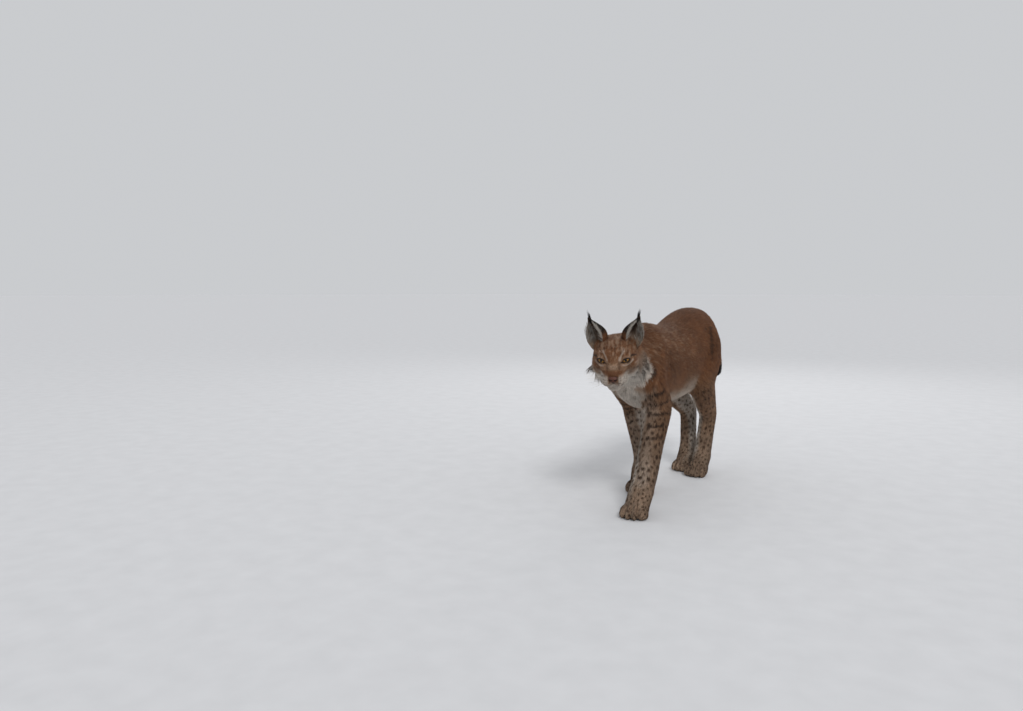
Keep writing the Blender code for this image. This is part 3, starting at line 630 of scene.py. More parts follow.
def eye_share(points, side, margin=0.0):
    """Less than 1 inside the opening of the eyelids, seen along the gaze, and more outside it."""
    local = in_frame(eye_frame(side), points)
    x = np.clip(np.abs(local[:, 0]) / (EYE_HALF_WIDTH + margin), 0, 1.6)
    half_height = np.where(local[:, 1] > 0, UPPER_LID, LOWER_LID) + margin
    edge = np.maximum(1 - np.minimum(x, 1) ** 2, 0) ** 0.8 * half_height
    share = np.maximum(np.abs(local[:, 1]) / np.maximum(edge, 1e-5), x)
    share = np.where(x >= 1, np.maximum(x + np.abs(local[:, 1]) / half_height, 1), share)
    return np.where(local[:, 2] > 0, share, 9.0)


def swell(points, normals, place, radius, amount):
    """Moves the skin outward round a place of the head, or inward where the amount is less than 0."""
    distance = np.linalg.norm(points - np.array(HEAD @ Vector(place)), axis=1)
    return points + normals * (amount * np.maximum(1 - (distance / radius) ** 2, 0) ** 2)[:, None]


# Swellings and hollows of the face on the left side: place, radius and height
FACE_FORMS = (
    ((0.0155, -0.0880, -0.0370), 0.018, 0.0022),
    ((0.0260, -0.0520, 0.0250), 0.016, 0.0022),
    ((0.0400, -0.0520, -0.0080), 0.018, 0.0016),
    ((0.0120, -0.0680, 0.0060), 0.010, -0.0010),
    ((0.0460, -0.0180, 0.0220), 0.020, -0.0010),
)


def shape_face(points, triangles):
    """Adds the finer forms of the face, opens the lids, and draws in the line of the mouth."""
    normals = point_normals(points, triangles)
    for place, radius, amount in FACE_FORMS:
        for side in (LEFT, RIGHT):
            points = swell(points, normals, mirrored(place, side), radius, amount)
    points = swell(points, normals, (0, -0.0960, -0.0130), 0.012, 0.0016)
    head = to_head(points)
    for side in (LEFT, RIGHT):
        centre = np.array(HEAD @ mirrored(EYE_PLACE, side))
        away = points - centre
        distance = np.linalg.norm(away, axis=1)
        share = eye_share(points, side)
        close = (distance < EYE_RADIUS + 0.012) & (share < 9)
        inside = close & (share < 1.0)
        fold = LID_LIFT + LID_FOLD * ramp(share, 1.0, 1.35) * ramp(share, 3.2, 2.2)
        lowest = EYE_RADIUS + fold
        lid = close & ~inside & (distance < lowest) & (share < 3.6)
        points[lid] = centre + away[lid] / distance[lid, None] * lowest[lid, None]
        edge = close & ~inside & (share < 1.5) & (distance > lowest)
        settled = lowest + (distance - lowest) * ramp(share, 1.0, 1.5)
        points[edge] = centre + away[edge] / distance[edge, None] * settled[edge, None]
        points[inside] = centre + away[inside] / distance[inside, None] * (EYE_RADIUS - EYE_SUNK)
        line = between([mirrored(p, side) for p in MOUTH], 6)
        gap, along = near_line(head, line)
        points = points - normals * (MOUTH_DEPTH * ramp(gap, 0.0040, 0.0006) * ramp(along, 1.0, 0.8))[:, None]
    cleft, _ = near_line(head, CLEFT)
    return points - normals * (CLEFT_DEPTH * ramp(cleft, 0.0032, 0.0004))[:, None]


def shape_paws(points, triangles, labels):
    """Parts the four toes of each paw with grooves, and rounds each toe."""
    normals = point_normals(points, triangles)
    for name, ((x, y), turn, width) in PAWS.items():
        place = Matrix.Translation(Vector((x, y, 0)) + BODY_SHIFT)
        local = in_frame(place @ Matrix.Rotation(math.radians(turn), 4, "Z"), points)
        picked = is_label(labels, name)
        spread = local[:, 0] / (TOE_SPREAD * width) * (1 + 6.0 * np.minimum(local[:, 1] + 0.020, 0))
        front = ramp(local[:, 1], -0.006, -0.022) * ramp(local[:, 2], 0.060, 0.042)
        groove = np.zeros(len(points))
        for line in (-1.0, 0.0, 1.0):
            groove = np.maximum(groove, np.exp(-((spread - line) / 0.20) ** 2))
        toe = np.cos((spread - np.clip(np.round(spread - 0.5) + 0.5, -1.5, 1.5)) * math.pi) ** 2
        change = (TOE_SWELL * toe - TOE_GROOVE * groove) * front
        points = points + normals * (change * picked)[:, None]
    return points


def make_skin():
    """The skin as arrays: points, triangles, normals, labels, coat fields, lie of the coat, ear insides."""
    points, triangles = joined_flesh()
    labels = labels_of(points)
    edges = edges_of(triangles)
    points, thin = without_locks(points, triangles, labels, edges)
    head = to_head(points)
    face = is_label(labels, "head") * ramp(head[:, 1], -0.010, -0.030)
    paw = is_label(labels, "forepaw", "hindpaw").astype(float)
    ruff = relax(thin.astype(float), edges, 30)
    soft = relax(np.clip(0.55 - 0.45 * np.maximum(face, paw), 0.1, 1), edges, 10)
    points = relax(points, edges, 26, soft)
    points = relax(points, edges, 60, np.clip(1.6 * ruff, 0, 0.7))
    fields = relax(coat_fields(points, labels), edges, 50)
    for _ in range(4):
        normals = point_normals(points, triangles)
        points = points - normals * fields[:, :1] / 4
        points = relax(points, edges, 2, soft * 0.6)
    points = shape_paws(points, triangles, labels)
    points = relax(points, edges, 3, paw * 0.35)
    points = shape_face(points, triangles)
    points[:, 2] = np.maximum(points[:, 2], FLOOR_GAP)
    inside = np.zeros(len(points), bool)
    for side in (LEFT, RIGHT):
        found, faces, within = ear_shell(side)
        triangles = np.concatenate([triangles, faces + len(points)])
        edges = np.concatenate([edges, edges_of(faces) + len(points)])
        points = np.concatenate([points, found])
        labels = np.concatenate([labels, np.full(len(found), EAR_LABEL)])
        inside = np.concatenate([inside, within])
        fields = np.concatenate([fields, np.tile(COAT["ear"], (len(found), 1))])
    normals = point_normals(points, triangles)
    lie = lie_of_coat(points, normals, labels, edges)
    return points, triangles, normals, labels, fields, lie, inside


# An unwrap of the skin, for places on OFBake

def unwrap(points, normals, labels):
    """Flat places for points of the skin, and the chart of each: one for each solid and each side."""
    axis = np.abs(normals).argmax(axis=1)
    sign = np.take_along_axis(normals, axis[:, None], 1)[:, 0] > 0
    chart = labels * 6 + axis * 2 + sign
    flat = np.zeros((len(points), 2))
    for k, (u, v) in enumerate(((1, 2), (0, 2), (0, 1))):
        flat[axis == k] = points[axis == k][:, [u, v]]
    return chart, flat


def pack_charts(chart, flat):
    """Where each chart goes: its lowest corner, its place on the square, and one scale for all of them."""
    names = np.unique(chart)
    boxes = {n: (flat[chart == n].min(0), flat[chart == n].max(0)) for n in names}
    order = sorted(names, key=lambda n: -(boxes[n][1] - boxes[n][0])[1])
    margin = 0.004
    for width in np.arange(0.8, 4.0, 0.05):
        places, x, y, shelf = {}, margin, margin, 0.0
        for n in order:
            size = boxes[n][1] - boxes[n][0]
            if x + size[0] + margin > width:
                x, y, shelf = margin, y + shelf + margin, 0.0
            places[n] = np.array((x, y))
            x += size[0] + margin
            shelf = max(shelf, size[1])
        if y + shelf + margin <= width:
            return boxes, places, 1 / width
    raise ValueError("the charts don't fit")


# Markings. Places on the body are those of the solids' source, before it was centred over the floor.

RUST = np.array((109.0, 71.0, 46.0))
DEEP = np.array((84.0, 54.0, 36.0))
FLANK = np.array((128.0, 97.0, 73.0))
GREY = np.array((156.0, 138.0, 121.0))
WHITE = np.array((200.0, 192.0, 182.0))
FROST = np.array((176.0, 154.0, 134.0))
SPOT = np.array((50.0, 34.0, 24.0))
DARK = np.array((42.0, 30.0, 23.0))
BLACK = np.array((22.0, 18.0, 16.0))

# Strokes on the head: the line, its half width, the colour and the strength
STROKES = (
    (((0.0300, -0.0400, 0.0330), (0.0240, -0.0520, 0.0260),
      (0.0185, -0.0610, 0.0180), (0.0150, -0.0690, 0.0105)),
     0.0027, WHITE, 0.56),
    (((0.0510, -0.0360, 0.0030), (0.0450, -0.0450, -0.0010),
      (0.0330, -0.0620, -0.0030), (0.0225, -0.0713, 0.0010)),
     0.0028, WHITE, 0.58),
    (((0.0440, -0.0430, 0.0150), (0.0560, -0.0200, 0.0060),
      (0.0640, 0.0020, -0.0090), (0.0690, 0.0220, -0.0250)),
     0.0030, BLACK, 0.85),
    (((0.0165, -0.0640, 0.0070), (0.0150, -0.0740, -0.0010), (0.0140, -0.0820, -0.0090)), 0.0042, DARK, 0.34),
    (((0.0487, -0.0476, -0.0176), (0.0580, -0.0150, -0.0330), (0.0600, 0.0158, -0.0720)), 0.0036, DARK, 0.40),
    (((0.0520, -0.0380, -0.0080), (0.0640, -0.0080, -0.0180), (0.0690, 0.0200, -0.0430)),
     0.0036, WHITE, 0.35),
    (((0.0120, -0.0480, 0.0360), (0.0140, -0.0200, 0.0490), (0.0180, 0.0150, 0.0530)), 0.0022, DARK, 0.40),
    (((0.0040, -0.0520, 0.0320), (0.0050, -0.0200, 0.0500), (0.0060, 0.0200, 0.0540)), 0.0020, DARK, 0.30),
    (((0.0280, -0.0300, 0.0400), (0.0320, 0.0000, 0.0450), (0.0340, 0.0200, 0.0440)), 0.0022, DARK, 0.40),
)

# Bands on the side of the neck behind the ruff
NECK_STROKES = (
    (((0.0760, 0.0320, -0.0400), (0.0740, 0.0340, -0.0700), (0.0650, 0.0380, -0.1130)), 0.0055, BLACK, 0.80),
    (((0.0860, 0.0570, -0.0300), (0.0850, 0.0450, -0.0700), (0.0800, 0.0350, -0.1150)), 0.0065, WHITE, 0.50),
    (((0.0940, 0.0800, -0.0350), (0.0930, 0.0700, -0.0600), (0.0890, 0.0380, -0.0970)), 0.0050, BLACK, 0.70),
)

# Bars on the shoulder and the upper foreleg, and a painted shade line down the haunch where the thigh meets
# the trunk, on the left side
BARS_AND_HAUNCH_SHADE = (
    (((0.0640, -0.285, 0.352), (0.0890, -0.285, 0.352), (0.1050, -0.270, 0.358), (0.1120, -0.235, 0.372)),
     0.0048, 0.95),
    (((0.0620, -0.270, 0.326), (0.0900, -0.266, 0.322), (0.1060, -0.242, 0.328), (0.1120, -0.210, 0.338)),
     0.0046, 0.92),
    (((0.0600, -0.250, 0.298), (0.0880, -0.256, 0.292), (0.1080, -0.236, 0.294), (0.1120, -0.200, 0.300)),
     0.0043, 0.92),
    (((0.0660, -0.262, 0.262), (0.0940, -0.262, 0.258), (0.1140, -0.230, 0.258)), 0.0042, 0.90),
    (((0.0700, -0.280, 0.228), (0.0980, -0.272, 0.222), (0.1100, -0.240, 0.224)), 0.0038, 0.88),
    # Painted shade: the fold where the thigh meets the trunk, drawn as a dark line
    (((0.0670, 0.239, 0.542), (0.0932, 0.205, 0.478), (0.1036, 0.190, 0.411)), 0.0090, 0.50),
)
RIGHT_FORELEG_SHIFT = (0.052, 0.100)


def mix(colour, other, share):
    return colour + (np.asarray(other) - colour) * np.asarray(share)[:, None]


def scatter_spots(points, normals, labels, lie):
    """Seeded places of the coat's spots, each with its way, size, stretch and strength."""
    order = random.permutation(len(points))[:SPOT_TRIES]
    leg = is_label(labels, "foreleg", "hindleg", "forepaw", "hindpaw")
    high = points[:, 2]
    lower = leg & (high < 0.36)
    foot = leg & (high < 0.10)
    spacing = np.select((foot, lower, leg), (0.0105, 0.0135, 0.0190), 0.0240)
    allowed = (labels != EAR_LABEL) & ~is_label(labels, "head") & (normals[:, 2] > -0.80)
    tree = KDTree(len(order))
    for k, place in enumerate(points[order].tolist()):
        tree.insert(place, k)
    tree.balance()
    open_to = allowed[order]
    kept = []
    for k, row in enumerate(order):
        if open_to[k]:
            kept.append(row)
            for _, other, _ in tree.find_range(points[row], spacing[row]):
                open_to[other] = False
    kept = np.array(kept)
    count = len(kept)
    size = np.select((high[kept] < 0.10, leg[kept]), (0.0026, 0.0038), 0.0036)
    size = size * random.uniform(0.75, 1.25, count)
    strength = np.select((lower[kept], leg[kept]), (0.85, 0.60), 0.30) * random.uniform(0.6, 1.1, count)
    strength = np.where(~leg[kept] & (high[kept] > 0.50), strength * 0.5, strength)
    stretch = random.uniform(1.0, 1.5, count)
    across = (random.random(count) < 0.45) & lower[kept]
    way = np.where(across[:, None], np.cross(normals[kept], lie[kept]), lie[kept])
    return points[kept], way, size, stretch, strength


def spot_strength(points, spots):
    """How strongly a spot colours each point, from 0 to 1."""
    tree = KDTree(len(points))
    for k, place in enumerate(points.tolist()):
        tree.insert(place, k)
    tree.balance()
    found = np.zeros(len(points))
    for place, way, size, stretch, strength in zip(*spots):
        rows = [row for _, row, _ in tree.find_range(place, size * stretch * 1.35)]
        if rows:
            offset = points[rows] - place
            along = np.abs(offset @ way)
            across = np.sqrt(np.maximum((offset * offset).sum(axis=1) - along * along, 0))
            reach = np.hypot(along / stretch, across) / size
            found[rows] = np.maximum(found[rows], strength * np.clip((1.35 - reach) / 0.6, 0, 1))
    return found


def bars_and_shade_on_skin():
    """The bars of the shoulders, and the painted shade line down the haunch, as lines on the skin, on both
    sides.
    """
    lines = []
    for line, half_width, strength in BARS_AND_HAUNCH_SHADE:
        for side in (LEFT, RIGHT):
            placed = []
            for place in between(line, 3):
                x, y, z = place
                if side == RIGHT:
                    x = RIGHT_FORELEG_SHIFT[0] - x
                    y = y + RIGHT_FORELEG_SHIFT[1] * (y < 0)
                placed.append(tuple(SKIN_TREE.find_nearest(Vector((x, y, z)) + BODY_SHIFT)[0]))
            lines.append((placed, half_width, strength))
    return lines


def markings(points, normals, labels, inside, spots):
    """The screen colour of the coat at each point."""
    place = points - np.array(BODY_SHIFT)
    head = to_head(points)
    high = place[:, 2]
    broad = lattice_noise(points, 0.045, 1) - 0.5
    fine = lattice_noise(points, 0.012, 2) - 0.5
    flecks = lattice_noise(points, 0.006, 3)
    on_head = is_label(labels, "head")
    limbs = is_label(labels, "foreleg", "hindleg", "forepaw", "hindpaw")
    trunk = is_label(labels, "torso", "neck")

    colour = np.tile(RUST, (len(points), 1))
    colour = mix(colour, DEEP, ramp(normals[:, 2], 0.35, 0.95) * 0.60 * trunk)
    colour = mix(colour, FLANK, ramp(high + 0.04 * broad, 0.420, 0.330) * 0.70 * (trunk | limbs))
    pale_back = ramp(place[:, 1], 0.14, -0.02) * ramp(high, 0.40, 0.47) * trunk
    colour = mix(colour, FROST, ramp(flecks + 0.3 * fine, 0.55, 0.80) * 0.38 * pale_back)

    under = ramp(normals[:, 2] + 0.35 * broad, -0.25, -0.70) * ramp(high, 0.420, 0.370)
    throat = ramp(np.abs(place[:, 0] - 0.013) + 0.016 * broad, 0.046, 0.028)
    throat *= ramp(place[:, 1], -0.200, -0.240)
    throat *= ramp(normals[:, 2], 0.45, 0.05) * ramp(high, 0.470, 0.430)
    colour = mix(colour, GREY, under * 0.60 * trunk)
    colour = mix(colour, WHITE, np.maximum(under * 0.62, throat * 0.90) * trunk)

    side = np.where(place[:, 0] > 0.012, 1.0, -1.0)
    inner = ramp(-normals[:, 0] * side + 0.4 * broad, 0.15, 0.70) * ramp(high, 0.46, 0.36)
    front = ramp(-normals[:, 1] + 0.3 * broad, 0.55, 0.95) * is_label(labels, "foreleg")
    front = front * ramp(high, 0.44, 0.36)
    colour = mix(colour, GREY, ramp(high + 0.03 * broad, 0.330, 0.080) * 0.62 * limbs)
    colour = mix(colour, WHITE, np.maximum(inner * 0.80, front * 0.35) * ramp(high, 0.0, 0.11) * limbs)
    colour = mix(colour, FROST, inner * 0.5 * ramp(high, 0.11, 0.0) * limbs)
    colour = mix(colour, GREY, ramp(flecks, 0.60, 0.85) * 0.35 * ramp(high, 0.36, 0.30) * limbs)
    colour = mix(colour, DARK, ramp(normals[:, 2], -0.5, -0.9) * ramp(high, 0.020, 0.008) * 0.8 * limbs)

    tail = is_label(labels, "tail")
    colour = mix(colour, FLANK, 0.35 * tail * ramp(normals[:, 1], 0.1, -0.6))
    colour = mix(colour, WHITE, 0.40 * tail * ramp(normals[:, 1], -0.2, -0.8) * ramp(high, 0.50, 0.44))
    colour = mix(colour, BLACK, ramp(high + 0.012 * fine, 0.392, 0.376) * 0.96 * tail)

    colour = mix(colour, SPOT, spots * ~on_head)
    # Dark bars, and the painted shade line of the fold down the haunch
    for line, half_width, strength in BAR_AND_SHADE_LINES:
        gap, along = near_line(points, line)
        reach = half_width * (1 + 0.8 * fine)
        ends = ramp(along, 0.0, 0.15) * ramp(along, 1.0, 0.85)
        share = ramp(gap, reach * 1.3, reach * 0.5) * strength * ends * ramp(flecks, 0.12, 0.42)
        colour = mix(colour, DARK, share * (trunk | limbs))
    neck = is_label(labels, "neck", "torso", "head")
    face = paint_head(head, fine, flecks)
    colour = mix(colour, face, on_head * ramp(head[:, 1] + 0.02 * fine, 0.085, 0.050))
    colour = add_strokes(colour, NECK_STROKES, head, fine, neck)
    colour = paint_ears(colour, points, labels, inside)
    return colour * (1 + 0.16 * broad + 0.12 * fine)[:, None]


def add_strokes(colour, strokes, head, fine, region):
    """Paints lines of both sides of the head, soft at their edges and ends."""
    for line, half_width, tone, strength in strokes:
        for side in (LEFT, RIGHT):
            gap, along = near_line(head, between([mirrored(p, side) for p in line], 4))
            reach = half_width * (1 + 0.6 * fine)
            ends = 0.3 + 0.7 * ramp(along, 0.0, 0.12) * ramp(along, 1.0, 0.88)
            colour = mix(colour, tone, ramp(gap, reach * 1.4, reach * 0.5) * strength * ends * region)
    return colour


def paint_head(head, fine, flecks):
    """The face: brown brow and bridge, pale muzzle, chin and cheeks, dark round the eyes, and the strokes."""
    wide, back, high = np.abs(head[:, 0]), head[:, 1], head[:, 2]
    face = np.tile(RUST * 1.04, (len(head), 1))
    face = mix(face, DEEP, ramp(high, 0.020, 0.045) * 0.35)
    streak = lattice_noise(head * np.array((1.0, 0.22, 0.5)), 0.0042, 5)
    face = mix(face, DARK, ramp(streak, 0.62, 0.85) * 0.42 * ramp(high, 0.012, 0.030))
    face = mix(face, FROST, ramp(streak, 0.45, 0.20) * 0.45 * ramp(high, -0.002, 0.022))
    face = mix(face, FROST, ramp(flecks, 0.52, 0.75) * 0.35 * ramp(back, -0.072, -0.050))
    cheek = ramp(high, -0.004, -0.026) * ramp(wide, 0.016, 0.028)
    face = mix(face, GREY, cheek * 0.62)
    bridge = ramp(wide, 0.0130, 0.0080) * ramp(back, -0.060, -0.074) * ramp(high, -0.026, -0.016)
    face = mix(face, FLANK, bridge * 0.45 * ramp(back, -0.094, -0.086))
    low = ramp(high, -0.028, -0.046)
    muzzle = ramp(wide, 0.0095, 0.0150) * ramp(high, -0.014, -0.027) * ramp(back, -0.040, -0.062)
    face = mix(face, WHITE, np.maximum(low * 0.88, muzzle * 0.82))
    rows = ramp(np.abs((high + 0.032 - 0.10 * (back + 0.08)) % 0.0058 - 0.0029), 0.0013, 0.0006)
    dots = ramp(lattice_noise(head, 0.0034, 8), 0.42, 0.62)
    spotted = ramp(wide, 0.010, 0.015) * ramp(back, -0.058, -0.068) * ramp(high, -0.047, -0.043)
    face = mix(face, DARK, rows * dots * spotted * ramp(high, -0.022, -0.027) * 0.60)
    swirl = np.linalg.norm((head - np.array((0.0, -0.0300, -0.0260)))[:, 1:], axis=1)
    face = mix(face, WHITE, ramp(np.abs(swirl - 0.0085), 0.0028, 0.0008) * 0.35 * ramp(wide, 0.030, 0.040))
    face = mix(face, RUST, ramp(swirl, 0.0055, 0.0025) * 0.5 * ramp(wide, 0.030, 0.040))
    for side in (LEFT, RIGHT):
        place = from_head(head) + np.array(HEAD_PLACE)
        share = eye_share(place, side)
        face = mix(face, FROST, ramp(share, 3.2, 2.0) * 0.38)
        face = mix(face, BLACK, ramp(share, 1.75, 1.30) * 0.92)
    face = add_strokes(face, STROKES, head, fine, np.ones(len(head)))
    return mix(face, DARK, ramp(flecks, 0.78, 0.92) * 0.22)


def paint_ears(colour, points, labels, inside):
    """Black backs with a pale patch, pale edges and insides."""
    ear = labels == EAR_LABEL
    for side in (LEFT, RIGHT):
        local = in_frame(ear_frame(side), points)
        here = ear & (to_head(points)[:, 0] * side > 0)
        back = np.tile(DARK * 0.8, (len(points), 1))
        back = mix(back, RUST, ramp(local[:, 2], 0.024, 0.004))
        patch = ramp(np.hypot(local[:, 0] / 0.013, (local[:, 2] - 0.030) / 0.017), 1.15, 0.75)
        back = mix(back, GREY, patch * 0.80)
        back = mix(back, BLACK, ramp(local[:, 2], 0.046, 0.060))
        within = np.tile(DARK * 1.7, (len(points), 1))
        edge = ramp(np.abs(local[:, 0]), 0.008, 0.021)
        within = mix(within, FROST, np.maximum(edge * 0.9, ramp(local[:, 2], 0.022, 0.004) * 0.6))
        colour = np.where(here[:, None], np.where(inside[:, None], within, back), colour)
    return colour


# Coat

def pick_roots(points, triangles, normals, fields, lie, labels, inside):
    """Seeded places on the skin, as many on each triangle as its area and the coat ask for."""
    corners = points[triangles]
    area = np.linalg.norm(np.cross(corners[:, 1] - corners[:, 0], corners[:, 2] - corners[:, 0]), axis=1) / 2
    wanted = np.cumsum(area * fields[triangles, 3].mean(axis=1))
    marks = np.arange(random.random(), wanted[-1], 1.0)
    picked = np.searchsorted(wanted, marks)
    share = random.random((len(picked), 2))
    fold = share.sum(axis=1) > 1
    share[fold] = 1 - share[fold]
    weights = np.column_stack([1 - share.sum(axis=1), share])
    corner = triangles[picked]

    def carried(values):
        return (values[corner] * weights[..., None]).sum(axis=1)

    nearest = corner[np.arange(len(corner)), weights.argmax(axis=1)]
    root_normals = unit(carried(normals))
    root_lie = carried(lie)
    root_lie = unit(root_lie - root_normals * (root_lie * root_normals).sum(axis=1, keepdims=True))
    return {
        "place": carried(points),
        "normal": root_normals,
        "lie": root_lie,
        "fields": carried(fields),
        "label": labels[nearest],
        "inside": inside[nearest],
    }


def kept_roots(roots):
    """Leaves out the soles, the openings of the eyes, the nose leather and what is sunk in the head."""
    place = roots["place"]
    head = to_head(place)
    keep = ~((place[:, 2] < 0.006) | ((roots["normal"][:, 2] < -0.7) & (place[:, 2] < 0.016)))
    for side in (LEFT, RIGHT):
        centre = np.array(HEAD @ mirrored(EYE_PLACE, side))
        close = np.linalg.norm(place - centre, axis=1) < EYE_RADIUS + 0.010
        keep &= ~(close & (eye_share(place, side, 0.0006) < 1.0))
    nose = (head - np.array(NOSE_PLACE)) / np.array((0.0115, 0.0140, 0.0085))
    keep &= np.linalg.norm(nose, axis=1) > 1.0
    return {name: values[keep] for name, values in roots.items()}


def turned_about(vectors, axes, angles):
    """Each vector turned about its own axis, which is square to it."""
    return vectors * np.cos(angles)[:, None] + np.cross(axes, vectors) * np.sin(angles)[:, None]


def blades(tufts, stations):
    """Thin tapered blades along curves. Returns points, triangles, normals, tints and two sets of UVs."""
    root, middle, end = tufts["root"], tufts["middle"], tufts["end"]
    count = len(root)
    shares = np.linspace(0, 1, stations + 1)
    tapers = np.interp(shares, (0, 0.30, 0.65, 1.0), (0.80, 1.0, 0.75, 0.0))
    columns, facings, tints, bakes, strands = [], [], [], [], []
    for k, s in enumerate(shares):
        spine = root * (1 - s) * (1 - 2 * s) + middle * 4 * s * (1 - s) + end * s * (2 * s - 1)
        way = unit(root * (4 * s - 3) + middle * (4 - 8 * s) + end * (4 * s - 1))
        normal = unit(tufts["normal"] * (1 - s) + tufts["end_normal"] * s)
        flat = turned_about(unit(np.cross(way, normal)), way, tufts["roll"])
        lift = tufts["height"] * (1 - (1 - s) ** 1.5) - tufts["sink"] * (1 - s)
        spine = spine + normal * lift[:, None]
        half = (tufts["width"] / 2 * tapers[k])[:, None]
        over = np.cross(flat, way) * BLADE_FACING + normal * (1 - BLADE_FACING)
        if s < 0.5:
            tint = tufts["root_tint"] + (tufts["tint"] - tufts["root_tint"]) * 2 * s
        else:
            tint = tufts["tint"] + (tufts["tip_tint"] - tufts["tint"]) * (2 * s - 1)
        for a in (-1.0, 1.0) if k < stations else (0.0,):
            columns.append(spine + flat * half * a)
            facings.append(unit(over + flat * BLADE_ROUNDING * a))
            tints.append(tint)
            bakes.append(tufts["bake"] + BAKE_PATCH * np.array((a / 2, s - 0.5)))
            strands.append(np.column_stack([tufts["seed"] + a * 0.45, tufts["seed"] * 7 + s * 0.6]))
    faces = []
    for k in range(stations - 1):
        low, high = 2 * k, 2 * k + 2
        faces += [(low, low + 1, high + 1), (low, high + 1, high)]
    faces.append((2 * stations - 2, 2 * stations - 1, 2 * stations))
    each = 2 * stations + 1
    points = np.stack(columns, axis=1).reshape(-1, 3)
    points[:, 2] = np.maximum(points[:, 2], 0.0006)
    triangles = (np.arange(count)[:, None, None] * each + np.array(faces)).reshape(-1, 3)
    carried = (facings, tints, bakes, strands)
    shaped = [np.stack(values, axis=1).reshape(count * each, -1) for values in carried]
    return (points, triangles, *shaped)


def build_coat(name, tufts, material):
    """The tufts of one part of the body, as objects small enough for one piece each."""
    stations = np.where(tufts["length"] > LONG_TUFT, 3, 2)
    order = np.argsort(tufts["root"][:, 2], kind="stable")
    size = np.cumsum(2 * stations[order] - 1)
    pieces = size[-1] // PIECE_TRIANGLES + 1
    piece = size * pieces // (size[-1] + 1)
    for k in range(pieces):
        rows = order[piece == k]
        groups = [(chosen(tufts, rows[stations[rows] == n]), n) for n in (3, 2)]
        build_blades(f"{name}_{k + 1}", groups, material)


def build_blades(name, groups, material):
    """One object from several groups of blades, each with its number of stations."""
    parts, offset = [], 0
    for tufts, stations in groups:
        if not len(tufts["root"]):
            continue
        points, triangles, *rest = blades(tufts, stations)
        parts.append((points, triangles + offset, *rest))
        offset += len(points)
    points, triangles, facings, tints, bakes, strands = (np.concatenate(values) for values in zip(*parts))
    mesh = mesh_from(name, points, triangles)
    paint(mesh, tints)
    uv_layer(mesh, "OFBake", bakes)
    uv_layer(mesh, "Strand", strands)
    mesh.normals_split_custom_set_from_vertices(facings.tolist())
    mesh.materials.append(material)
    made = link(name, mesh)
    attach(made, "root")
    return made


def grow_coat(roots, tree, spots, bake):
    """Every tuft of the coat, from its root: where it bends and ends, its size and its colours."""
    count = len(roots["place"])
    depth, length, width, _ = roots["fields"].T
    length = length * random.uniform(0.75, 1.15, count)
    turn = random.normal(0, LIE_SPREAD, count) + LIE_WAVE * (lattice_noise(roots["place"], 0.030, 21) - 0.5)
    lie = turned_about(roots["lie"], roots["normal"], turn)
    end = roots["place"] + lie * length[:, None]

    # Neighbours lean together into clumps
    middles = random.permutation(count)[:math.ceil(count / TUFTS_IN_CLUMP)]
    clumps = KDTree(len(middles))
    for k, place in enumerate(roots["place"][middles].tolist()):
        clumps.insert(place, k)
    clumps.balance()
    centres = np.empty((count, 3))
    for k, place in enumerate(roots["place"].tolist()):
        centres[k] = clumps.find(place)[0]
    pull = centres + lie * length[:, None] - end
    pull -= lie * (pull * lie).sum(axis=1, keepdims=True)
    end += pull * CLUMP_PULL

    middle = roots["place"] * 0.5 + end * 0.5
    end_normal = np.empty_like(end)
    for k in range(count):
        place, normal, _, _ = tree.find_nearest(Vector(end[k]))
        end[k], end_normal[k] = place, normal
        middle[k] = tree.find_nearest(Vector(middle[k]))[0]
    end_normal = unit(end_normal * 0.6 + roots["normal"] * 0.4)

    shade = lattice_noise(centres, 0.004, 31)
    one = random.random(count)
    colour = markings(roots["place"], roots["normal"], roots["label"], roots["inside"], spots)
    colour = colour * (0.92 + 0.14 * shade + 0.14 * (one - 0.5))[:, None]
    tip = colour * (1.05 + 0.12 * (random.random(count)[:, None] - 0.3))
    upper = is_label(roots["label"], "torso", "neck", "foreleg", "hindleg", "head")
    place = roots["place"] - np.array(BODY_SHIFT)
    pale_back = ramp(place[:, 1], 0.14, -0.04) * ramp(place[:, 2], 0.38, 0.46)
    frosted = (random.random(count) < 0.05 + 0.22 * pale_back) & upper & (colour.sum(axis=1) > 160)
    tip[frosted] = tip[frosted] * 0.50 + FROST * 0.52
    dark_tip = (random.random(count) < 0.08) & upper
    tip[dark_tip] *= 0.60
    return {
        "root": roots["place"], "middle": middle, "end": end,
        "normal": roots["normal"], "end_normal": end_normal,
        "height": depth * random.uniform(0.50, 1.02, count),
        "sink": np.minimum(depth * 0.15, 0.0008),
        "width": width * random.uniform(0.75, 1.25, count),
        "roll": random.normal(0, 0.42, count),
        "root_tint": colour * ROOT_SHADE, "tint": colour * 0.97, "tip_tint": tip,
        "bake": bake, "seed": one * 40, "label": roots["label"], "length": length,
    }


def chosen(tufts, mask):
    return {name: values[mask] for name, values in tufts.items()}


def free_blades(root, way, length, width, bend, tint, bake, tip_tint=None):
    """Blades that stand free: ear tufts, hair in the ears and whiskers."""
    count = len(root)
    way = unit(np.array(way))
    length = np.broadcast_to(length, (count,))
    bend = np.broadcast_to(bend, (count, 3))
    middle = root + way * (length * 0.5)[:, None] + bend * 0.25
    end = root + way * length[:, None] + bend
    normal = unit(np.cross(way, np.cross(way + 1e-3, (0.3, -1.0, 0.2))))
    tint = np.broadcast_to(tint, (count, 3)) * random.uniform(0.85, 1.15, (count, 1))
    return {
        "root": root, "middle": middle, "end": end, "normal": normal, "end_normal": normal,
        "height": np.zeros(count), "sink": np.zeros(count), "width": np.broadcast_to(width, (count,)),
        "roll": random.normal(0, 0.8, count),
        "root_tint": tint * 0.8, "tint": tint,
        "tip_tint": tint if tip_tint is None else np.broadcast_to(tip_tint, (count, 3)),
        "bake": bake, "seed": random.random(count) * 40,
    }


